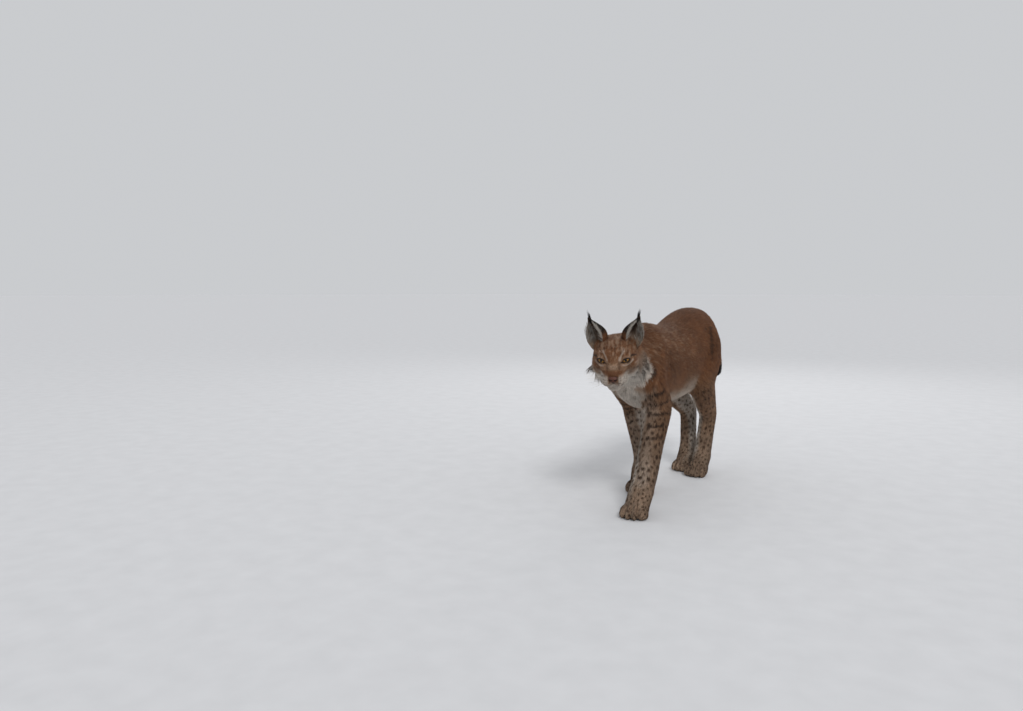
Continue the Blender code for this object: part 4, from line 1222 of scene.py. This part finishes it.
def ruff(side, bake_of):
    """The long hair of the cheek, which stands off the neck in several layers."""
    count = RUFF_BLADES
    steps = 12
    sizes = [(size,) for size in RUFF_SIZES]
    rows = [between(stations, steps) for stations in (RUFF_ROOTS, RUFF_LIES, sizes)]
    share = random.random(count)
    place = share * (len(rows[0]) - 1)
    low = np.minimum(place.astype(int), len(rows[0]) - 2)
    part = (place - low)[:, None]
    local, lie, size = (row[low] * (1 - part) + row[low + 1] * part for row in rows)
    back = random.uniform(-0.014, 0.034, count)
    local[:, 1] += back
    local[:, 2] += random.normal(0, 0.006, count)
    waves = np.column_stack([lattice_noise(local, 0.009, seed) - 0.5 for seed in (61, 62, 63)])
    lie = lie + waves * 0.50 + random.normal(0, 0.05, (count, 3))
    flip = np.array((side, 1.0, 1.0))
    world = from_head(local * flip) + np.array(HEAD_PLACE)
    root, normal = np.empty_like(world), np.empty_like(world)
    for k in range(count):
        root[k], normal[k], _, _ = SKIN_TREE.find_nearest(Vector(world[k]))
    lie = unit(from_head(lie * flip))
    outward = (lie * normal).sum(axis=1)
    lie = unit(lie - normal * (outward - np.clip(outward, 0.02, 0.30))[:, None])
    length = RUFF_LENGTH * size[:, 0] * random.uniform(0.60, 1.06, count)
    length = length * (0.86 + 5.0 * np.clip(back, 0, 0.03))
    fall = from_head(np.array([(0.0, 0.05, -0.15)])) * length[:, None]
    middle = root + lie * (length * 0.5)[:, None] + fall * 0.25
    end = root + lie * length[:, None] + fall
    clear = RUFF_CLEAR + 0.006 * random.random(count)
    for k in range(count):
        for _ in range(3):
            found, outward, _, _ = SKIN_TREE.find_nearest(Vector(end[k]))
            short = clear[k] - (Vector(end[k]) - found).dot(outward)
            if short > 0:
                end[k] += np.array(outward) * short
                middle[k] += np.array(outward) * short * 0.45
    colour = paint_head(to_head(root), np.zeros(count), np.full(count, 0.3))
    pale = mix(colour, WHITE * 0.95, 0.22 + 0.36 * ramp(share, 0.30, 0.60))
    fringe = ramp(share, 0.02, 0.10) * ramp(share, 0.62, 0.46) * ramp(back, -0.004, 0.012)
    fringe *= random.random(count) < 0.78
    vary = random.uniform(0.88, 1.10, (count, 1))
    return {
        "root": root, "middle": middle, "end": end, "normal": normal, "end_normal": normal,
        "height": np.zeros(count), "sink": np.full(count, 0.0008),
        "width": RUFF_WIDTH * random.uniform(0.7, 1.3, count), "roll": random.normal(0, 0.6, count),
        "root_tint": colour * 0.70 * vary, "tint": mix(pale, BLACK * 1.4, fringe * 0.30) * 0.95 * vary,
        "tip_tint": mix(pale, BLACK * 1.4, fringe * 0.90) * vary,
        "bake": bake_of(root), "seed": random.random(count) * 40,
    }


# Ears, eyes, nose, lips and whiskers

def ear_hair(side, bake_of):
    """The black brush on the tip, and the long pale hair that crosses the cup."""
    matrix = np.array(ear_frame(side))
    turned, place = matrix[:3, :3], matrix[:3, 3]
    count = BRUSH_BLADES
    spread = random.uniform(-1, 1, count)
    depth = random.uniform(-1, 1, count)
    high = EAR_HEIGHT - 0.020 + random.random(count) * 0.017
    local = np.column_stack([spread * 0.0024, 0.0034 + depth * 0.0014, high])
    way = np.column_stack([spread * 0.10, 0.08 + depth * 0.07, np.ones(count)])
    length = random.uniform(0.012, 0.026, count)
    bend = np.column_stack([spread * -0.0015, np.full(count, 0.005), np.zeros(count)]) @ turned.T
    root = local @ turned.T + place
    tuft = free_blades(root, way @ turned.T, length, 0.0007, bend, BLACK, bake_of(root))

    count = EAR_BLADES
    high = random.uniform(-0.006, 0.052, count)
    edge = np.where(random.random(count) < 0.66, -side, side)
    turn = np.radians(random.uniform(40, 106, count)) * edge
    share = (high - EAR_ROOT) / (EAR_HEIGHT - EAR_ROOT)
    radius = EAR_RADIUS * np.interp(share, np.linspace(0, 1, len(EAR_BREADTHS)), EAR_BREADTHS)
    local = np.column_stack([radius * np.sin(turn) * 0.93, radius * 0.85 * np.cos(turn), high])
    across = -np.sign(turn) * random.uniform(0.05, 0.80, count)
    way = np.column_stack([across, random.uniform(-0.60, -0.05, count), np.ones(count)])
    root = local @ turned.T + place
    length = random.uniform(0.012, 0.027, count) * (1 - 0.40 * ramp(high, 0.02, 0.05))
    bend = np.column_stack([np.zeros(count), np.full(count, 0.004), np.full(count, -0.002)]) @ turned.T
    hair = free_blades(root, way @ turned.T, length, 0.0006, bend, WHITE * 0.88, bake_of(root))
    return [(tuft, 3), (hair, 3)]


def whiskers(side, bake_of):
    """Long stiff hairs from the side of the muzzle, and a few over the eye."""
    roots, ways, lengths = [], [], []
    for row in range(4):
        for k in range(5):
            x = 0.0205 + 0.0028 * k
            local = Vector((side * x, -0.0900 + 0.0062 * k, -0.0300 - 0.0044 * row))
            place = SKIN_TREE.find_nearest(HEAD @ local)[0]
            roots.append(place)
            ways.append(HEAD_TURN @ Vector((side * (1.0 + 0.1 * k), 0.05 + 0.22 * k, 0.12 - 0.20 * row)))
            lengths.append(0.046 + 0.007 * k - 0.004 * row)
    for k in range(4):
        local = Vector((side * (0.024 + 0.003 * k), -0.052 + 0.002 * k, 0.031))
        roots.append(SKIN_TREE.find_nearest(HEAD @ local)[0])
        ways.append(HEAD_TURN @ Vector((side * (0.20 + 0.12 * k), -0.35, 1.0)))
        lengths.append(0.026)
    roots = np.array([tuple(p) for p in roots])
    bend = np.tile(tuple(HEAD_TURN @ Vector((0, 0.006, -0.006))), (len(roots), 1))
    ways = np.array([tuple(w) for w in ways])
    return free_blades(roots, ways, np.array(lengths), WHISKER_WIDTH, bend, WHITE, bake_of(roots))


def tube_along(name, line, radii, sides, material):
    """A round closed tube through places of the world, with its own radius at each."""
    bm = bmesh.new()
    line = [Vector(p) for p in line]
    rings = []
    for i, place in enumerate(line):
        along = (line[min(i + 1, len(line) - 1)] - line[max(i - 1, 0)]).normalized()
        side = along.cross(Vector((0.2, 0.3, 1.0))).normalized()
        over = side.cross(along)
        rings.append([
            bm.verts.new(place + (side * math.cos(t) + over * math.sin(t)) * radii[i])
            for t in (2 * math.pi * k / sides for k in range(sides))
        ])
    for first, second in zip(rings, rings[1:]):
        for k in range(sides):
            bm.faces.new((first[k], first[(k + 1) % sides], second[(k + 1) % sides], second[k]))
    bm.faces.new(rings[0])
    bm.faces.new(rings[-1][::-1])
    bmesh.ops.recalc_face_normals(bm, faces=bm.faces)
    mesh = bpy.data.meshes.new(name)
    bm.to_mesh(mesh)
    bm.free()
    mesh.shade_smooth()
    mesh.materials.append(material)
    made = link(name, mesh)
    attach(made, "root")
    return made


def lid_rim(side, material):
    """The dark, moist edge of the lids round the opening, and the dark corner that runs towards the nose."""
    name = side_name(side)
    matrix = eye_frame(side)
    radius = EYE_RADIUS + LID_LIFT

    def on_eye(x, y):
        return matrix @ Vector((x, y, math.sqrt(max(radius ** 2 - x * x - y * y, 0))))

    count = 64
    line, radii = [], []
    for k in range(count + 1):
        turn = 2 * math.pi * k / count
        x = math.cos(turn)
        half_height = UPPER_LID if math.sin(turn) > 0 else LOWER_LID
        y = math.copysign(max(1 - x * x, 0) ** 0.8, math.sin(turn)) * half_height
        line.append(on_eye(x * EYE_HALF_WIDTH, y))
        radii.append(LID_RIMS[0] if math.sin(turn) > 0 else LID_RIMS[1])
    tube_along("lid_" + name, line, radii, 10, material)
    corner = []
    for k in range(5):
        x = -side * (EYE_HALF_WIDTH + 0.0012 * k)
        outer = on_eye(x, -0.0004 * k * k)
        corner.append(SKIN_TREE.find_nearest(outer)[0] if k > 1 else outer)
    tube_along("lid_corner_" + name, corner, [0.0016, 0.0015, 0.0013, 0.0010, 0.0005], 8, material)


def eyeball(side, material):
    """An eye drawn in rings round its gaze: pupil, streaked iris with a dark edge, and a brown white."""
    rings, sides = 60, 72
    matrix = np.array(eye_frame(side))
    angles = np.concatenate([np.linspace(0, 0.95, 44), np.linspace(1.02, math.pi, rings - 44)])
    turns = np.arange(sides) / sides * 2 * math.pi
    pupil, iris = 0.235, 0.86
    bulge = 0.0006 * np.maximum(1 - (angles / (iris + 0.04)) ** 2, 0)
    radius = EYE_RADIUS - 0.0001 + bulge
    ring, turn = np.meshgrid(angles, turns, indexing="ij")
    reach = np.repeat(radius, sides)
    local = np.column_stack([
        reach * np.sin(ring.ravel()) * np.cos(turn.ravel()),
        reach * np.sin(ring.ravel()) * np.sin(turn.ravel()),
        reach * np.cos(ring.ravel()),
    ])
    points = local @ matrix[:3, :3].T + matrix[:3, 3]
    faces = []
    for i in range(len(angles) - 1):
        for k in range(sides):
            a, b = i * sides + k, i * sides + (k + 1) % sides
            faces += [(a, a + sides, b + sides), (a, b + sides, b)]
    ring, turn = ring.ravel(), turn.ravel()
    streak = lattice_noise(np.column_stack([np.cos(turn) * 6, np.sin(turn) * 6, ring * 1.5]), 1.0, 41)
    share = np.clip((ring - pupil) / (iris - pupil), 0, 1)
    amber = mix(np.tile((158.0, 110.0, 50.0), (len(ring), 1)), (94.0, 58.0, 26.0), share ** 1.2)
    amber = amber * (0.78 + 0.44 * streak)[:, None]
    amber = mix(amber, (178.0, 136.0, 68.0), ramp(ring, pupil + 0.16, pupil + 0.03) * 0.5)
    colour = mix(amber, (12.0, 9.0, 8.0), ramp(ring, pupil + 0.022, pupil - 0.006))
    colour = mix(colour, (34.0, 22.0, 14.0), ramp(ring, iris - 0.10, iris - 0.01))
    mesh = mesh_from("eye", points, np.array(faces))
    paint(mesh, colour)
    mesh.materials.append(material)
    name = side_name(side)
    made = link("eyeball_" + name, mesh)
    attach(made, "root")
    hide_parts("eye_" + name)
    return made


# The nose from the front: places across and up on half of its outline, and on the line of a nostril
NOSE_OUTLINE = (
    (0.0000, 0.0088), (0.0050, 0.0086), (0.0098, 0.0070), (0.0126, 0.0036), (0.0124, 0.0000),
    (0.0096, -0.0040), (0.0056, -0.0078), (0.0022, -0.0102), (0.0000, -0.0106),
)
NOSTRIL = (
    (0.0046, -0.0016), (0.0058, -0.0032), (0.0082, -0.0030), (0.0106, -0.0004), (0.0124, 0.0010),
)


def nose_leather(material):
    """The bare nose: a broad flat pad with a middle groove and two comma-shaped nostrils."""
    columns, rings = 96, 46
    outline = [(-x, z) for x, z in NOSE_OUTLINE[-2:0:-1]]
    outline = np.array([*NOSE_OUTLINE, *outline])
    angle = np.unwrap(np.arctan2(outline[:, 0], outline[:, 1]))
    reach = np.hypot(outline[:, 0], outline[:, 1])
    turns = np.arange(columns) / columns * 2 * math.pi
    radius = np.interp(turns, np.append(angle, angle[0] + 2 * math.pi), np.append(reach, reach[0]))
    for _ in range(3):
        radius = radius * 0.5 + (np.roll(radius, 1) + np.roll(radius, -1)) * 0.25
    bow = np.linspace(0, math.pi / 2, rings - 8)
    out = np.concatenate([np.sin(bow) ** 0.80, np.linspace(1.0, 0.90, 8)])
    deep = np.concatenate([-np.cos(bow) ** 0.62 * 0.0088, np.linspace(0.0012, 0.0095, 8)])
    ring, turn = np.meshgrid(np.arange(rings), turns, indexing="ij")
    ring, turn = ring.ravel(), turn.ravel()
    share = out[ring]
    x = share * radius[np.tile(np.arange(columns), rings)] * np.sin(turn)
    z = share * radius[np.tile(np.arange(columns), rings)] * np.cos(turn)
    y = deep[ring] + 0.0026 * (x / 0.0125) ** 2
    y += 0.0016 * np.maximum(z / 0.009, 0) ** 2 + 0.0010 * np.maximum(-z / 0.009, 0)
    flat = np.column_stack([x, np.zeros(len(x)), z])
    front = ring < rings - 9
    dent = np.zeros(len(x))
    for side in (LEFT, RIGHT):
        path = between([(px * side, 0.0, pz) for px, pz in NOSTRIL], 5)
        gap, along = near_line(flat, path)
        dent += 0.0042 * ramp(gap, 0.0024 - 0.0011 * along, 0.0003)
        dent -= 0.0008 * ramp(np.abs(gap - 0.0032), 0.0018, 0.0002) * (z > -0.0045)
    dent += 0.0011 * ramp(np.abs(x), 0.0013, 0.0001) * ramp(z, 0.005, -0.002)
    grain = lattice_noise(flat, 0.0011, 51) - 0.5
    y = y + dent * front + grain * 0.0002
    local = np.column_stack([x, y, z])
    matrix = np.array(HEAD @ Matrix.Translation(NOSE_PLACE) @ Matrix.Rotation(math.radians(-12), 4, "X"))
    points = local @ matrix[:3, :3].T + matrix[:3, 3]
    faces = []
    for i in range(rings - 1):
        for k in range(columns):
            a, b = i * columns + k, i * columns + (k + 1) % columns
            faces += [(a, b + columns, b), (a, a + columns, b + columns)]
    last = (rings - 1) * columns
    faces += [(last, last + k, last + k + 1) for k in range(1, columns - 1)]
    colour = np.tile((82.0, 48.0, 35.0), (len(points), 1))
    # Painted shade: the nostrils and the middle groove are darker the deeper they are dented
    colour = mix(colour, (16.0, 10.0, 9.0), ramp(dent, 0.0006, 0.0024))
    colour = mix(colour, (40.0, 27.0, 23.0), ramp(share, 0.84, 0.98) * 0.85)
    colour = mix(colour, (38.0, 25.0, 21.0), ramp(z, -0.0045, -0.0090) * 0.8)
    colour = colour * (1 + 0.25 * grain)[:, None]
    mesh = mesh_from("nose", points, np.array(faces))
    paint(mesh, colour)
    mesh.materials.append(material)
    made = link("nose_leather", mesh)
    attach(made, "root")
    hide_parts("nose")
    return made


def lips(material):
    """The dark line of the lips, on both sides of the mouth."""
    for side in (LEFT, RIGHT):
        mouth = between([mirrored(p, side) for p in MOUTH], 5)
        line = [SKIN_TREE.find_nearest(HEAD @ Vector(p))[0] for p in mouth]
        shares = [0.15 + 0.8 * k / (len(line) - 1) for k in range(len(line))]
        radii = [0.0010 * (0.55 + 0.45 * math.sin(math.pi * share)) for share in shares]
        tube_along("lip_" + side_name(side), line, radii, 7, material)


# Materials

def tinted_material(name, roughness, bump_size=None, bump_depth=0.0, strands=False, specular=0.3):
    """A material that reads the tint of each point, with fine streaks or grain over it."""
    material = bpy.data.materials.new(name)
    material.use_nodes = True
    nodes, links = material.node_tree.nodes, material.node_tree.links
    shader = nodes["Principled BSDF"]
    shader.inputs["Roughness"].default_value = roughness
    shader.inputs["Specular IOR Level"].default_value = specular
    tint = nodes.new("ShaderNodeVertexColor")
    tint.layer_name = "tint"
    streak = nodes.new("ShaderNodeTexNoise")
    if strands:
        place = nodes.new("ShaderNodeUVMap")
        place.uv_map = "Strand"
        streak.inputs["Scale"].default_value = 4.2
        links.new(place.outputs["UV"], streak.inputs["Vector"])
    else:
        place = nodes.new("ShaderNodeTexCoord")
        streak.inputs["Scale"].default_value = 1 / (bump_size or 0.002)
        links.new(place.outputs["Object"], streak.inputs["Vector"])
    streak.inputs["Detail"].default_value = 3.0
    spread = nodes.new("ShaderNodeMapRange")
    spread.inputs["From Min"].default_value = 0.25
    spread.inputs["From Max"].default_value = 0.75
    spread.inputs["To Min"].default_value = 0.72 if strands else 0.88
    spread.inputs["To Max"].default_value = 1.22 if strands else 1.10
    links.new(streak.outputs["Fac"], spread.inputs["Value"])
    shaded = nodes.new("ShaderNodeVectorMath")
    shaded.operation = "MULTIPLY"
    links.new(tint.outputs["Color"], shaded.inputs[0])
    links.new(spread.outputs["Result"], shaded.inputs[1])
    links.new(shaded.outputs["Vector"], shader.inputs["Base Color"])
    bump = nodes.new("ShaderNodeBump")
    bump.inputs["Strength"].default_value = 0.5
    bump.inputs["Distance"].default_value = bump_depth
    links.new(streak.outputs["Fac"], bump.inputs["Height"])
    links.new(bump.outputs["Normal"], shader.inputs["Normal"])
    return material


def plain_material(name, colour, roughness, grain, depth):
    """A material of one colour with soft grain in its shade and surface."""
    material = bpy.data.materials.new(name)
    material.use_nodes = True
    nodes, links = material.node_tree.nodes, material.node_tree.links
    shader = nodes["Principled BSDF"]
    shader.inputs["Roughness"].default_value = roughness
    noise = nodes.new("ShaderNodeTexNoise")
    noise.inputs["Scale"].default_value = grain
    place = nodes.new("ShaderNodeTexCoord")
    links.new(place.outputs["Object"], noise.inputs["Vector"])
    ramp_node = nodes.new("ShaderNodeMix")
    ramp_node.data_type = "RGBA"
    ramp_node.inputs["A"].default_value = (*(c * 0.93 for c in colour), 1)
    ramp_node.inputs["B"].default_value = (*(min(c * 1.05, 1) for c in colour), 1)
    links.new(noise.outputs["Fac"], ramp_node.inputs["Factor"])
    links.new(ramp_node.outputs["Result"], shader.inputs["Base Color"])
    bump = nodes.new("ShaderNodeBump")
    bump.inputs["Distance"].default_value = depth
    bump.inputs["Strength"].default_value = 0.4
    links.new(noise.outputs["Fac"], bump.inputs["Height"])
    links.new(bump.outputs["Normal"], shader.inputs["Normal"])
    return material


# Studio

def studio():
    """A pale floor, soft lights, and the camera of the photograph."""
    bm = bmesh.new()
    bmesh.ops.create_circle(bm, cap_ends=True, cap_tris=True, segments=96, radius=FLOOR_RADIUS)
    mesh = bpy.data.meshes.new("floor")
    bm.to_mesh(mesh)
    bm.free()
    mesh.materials.append(plain_material("pale_floor", (0.69, 0.69, 0.70), 0.9, 14.0, 0.001))
    link("floor", mesh)

    lights = (
        ("key", "SUN", (2.2, -2.4, 3.0), math.radians(16.0), 1.35),
        ("back", "AREA", (-0.8, 3.0, 2.8), 2.4, 22.0),
    )
    for name, kind, place, size, power in lights:
        light = bpy.data.lights.new(name, kind)
        if kind == "SUN":
            light.angle = size
        else:
            light.size = size
        light.energy = power
        lamp = bpy.data.objects.new(name, light)
        lamp.location = place
        lamp.rotation_mode = "QUATERNION"
        lamp.rotation_quaternion = (Vector((0, 0, 0.3)) - Vector(place)).to_track_quat("-Z", "Y")
        bpy.context.scene.collection.objects.link(lamp)
    world = bpy.data.worlds.new("studio")
    bpy.context.scene.world = world
    world.use_nodes = True
    background = world.node_tree.nodes["Background"]
    background.inputs["Color"].default_value = (0.95, 0.97, 1.0, 1)
    background.inputs["Strength"].default_value = 0.62
    bpy.context.scene.view_settings.view_transform = "Standard"

    camera = bpy.data.cameras.new("camera")
    camera.sensor_width = SENSOR_WIDTH
    camera.lens = FOCAL_SHARE * SENSOR_WIDTH
    shot = bpy.data.objects.new("camera", camera)
    level = math.cos(CAMERA_PITCH)
    ahead = Vector((
        -math.sin(CAMERA_AZIMUTH) * level, math.cos(CAMERA_AZIMUTH) * level, -math.sin(CAMERA_PITCH),
    ))
    shot.location = CAMERA_PLACE + BODY_SHIFT
    shot.rotation_mode = "QUATERNION"
    shot.rotation_quaternion = ahead.to_track_quat("-Z", "Y")
    bpy.context.scene.collection.objects.link(shot)
    bpy.context.scene.camera = shot


# The whole animal

points, triangles, normals, labels, fields, lie, inside = make_skin()
SKIN_TREE = BVHTree.FromPolygons(points.tolist(), triangles.tolist())
spots = scatter_spots(points, normals, labels, lie)
BAR_AND_SHADE_LINES = bars_and_shade_on_skin()

centres = points[triangles].mean(axis=1)
face_labels = labels[triangles[:, 0]]
chart, flat = unwrap(centres, unit(face_normals(points, triangles)), face_labels)
boxes, chart_places, chart_scale = pack_charts(chart, flat)


def bake_of(places, place_normals, place_labels):
    """The place of each point on the unwrap."""
    found, flat_places = unwrap(places, place_normals, place_labels)
    known = np.isin(found, list(boxes))
    found = np.where(known, found, next(iter(boxes)))
    low = np.array([boxes[n][0] for n in found])
    corner = np.array([chart_places[n] for n in found])
    return np.clip((flat_places - low + corner) * chart_scale, 0.002, 0.998)


coat_material = tinted_material("coat", 0.78, bump_depth=0.0004, strands=True, specular=0.22)
skin_material = tinted_material("skin", 0.85, bump_size=0.0016, bump_depth=0.0006, specular=0.15)

skin_mesh = mesh_from("skin", points, triangles)
paint(skin_mesh, markings(points, normals, labels, inside, spot_strength(points, spots)) * 0.72)
corner_labels = np.repeat(face_labels, 3)
corner_normals = np.repeat(unit(face_normals(points, triangles)), 3, axis=0)
skin_uv = skin_mesh.uv_layers.new(name="OFBake")
corner_places = bake_of(points[triangles].reshape(-1, 3), corner_normals, corner_labels)
skin_uv.uv.foreach_set("vector", corner_places.astype(np.float32).ravel())
skin_mesh.materials.append(skin_material)
skin = link("skin", skin_mesh)
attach(skin, "root")
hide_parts(*FLESH, "ear_left", "ear_right")

roots = kept_roots(pick_roots(points, triangles, normals, fields, lie, labels, inside))
coat = grow_coat(
    roots, SKIN_TREE, spot_strength(roots["place"], spots),
    bake_of(roots["place"], roots["normal"], roots["label"]),
)
clear = np.ones(len(coat["root"]), bool)
lifted = coat["end"] + coat["end_normal"] * coat["height"][:, None]
for side in (LEFT, RIGHT):
    from_eye = np.linalg.norm(lifted - np.array(HEAD @ mirrored(EYE_PLACE, side)), axis=1)
    clear &= ~((eye_share(lifted, side, -0.0008) < 1.0) & (from_eye < 0.028))
coat = chosen(coat, clear)
PIECES = {
    "coat_head": ("head",), "coat_neck": ("neck",), "coat_tail": ("tail",), "coat_ears": ("ear",),
    "coat_torso": ("torso",),
    "coat_foreleg_left": ("foreleg_left", "forepaw_left"),
    "coat_foreleg_right": ("foreleg_right", "forepaw_right"),
    "coat_hindleg_left": ("hindleg_left", "hindpaw_left"),
    "coat_hindleg_right": ("hindleg_right", "hindpaw_right"),
}
for name, starts in PIECES.items():
    build_coat(name, chosen(coat, is_label(coat["label"], *starts)), coat_material)


def bake_at_head(places):
    count = len(places)
    return bake_of(places, np.tile((0.0, -1.0, 0.0), (count, 1)), np.full(count, EAR_LABEL))


for side in (LEFT, RIGHT):
    build_blades("ear_hair_" + side_name(side), ear_hair(side, bake_at_head), coat_material)
    build_blades("ruff_" + side_name(side), [(ruff(side, bake_at_head), 4)], coat_material)
build_blades("whiskers", [(whiskers(side, bake_at_head), 5) for side in (LEFT, RIGHT)], coat_material)

wet = tinted_material("eye", 0.30, bump_size=0.01, bump_depth=0.0, specular=0.0)
wet_shader = wet.node_tree.nodes["Principled BSDF"]
wet_shader.inputs["Coat Weight"].default_value = 0.5
wet_shader.inputs["Coat Roughness"].default_value = 0.02
rim = plain_material("lid_rim", (0.010, 0.007, 0.006), 0.5, 900.0, 0.0002)
rim.node_tree.nodes["Principled BSDF"].inputs["Specular IOR Level"].default_value = 0.2
for side in (LEFT, RIGHT):
    eyeball(side, wet)
    lid_rim(side, rim)
nose_leather(tinted_material("nose", 0.48, bump_size=0.0009, bump_depth=0.0005, specular=0.3))
lips(plain_material("lip", (0.018, 0.011, 0.009), 0.45, 900.0, 0.0002))
studio()
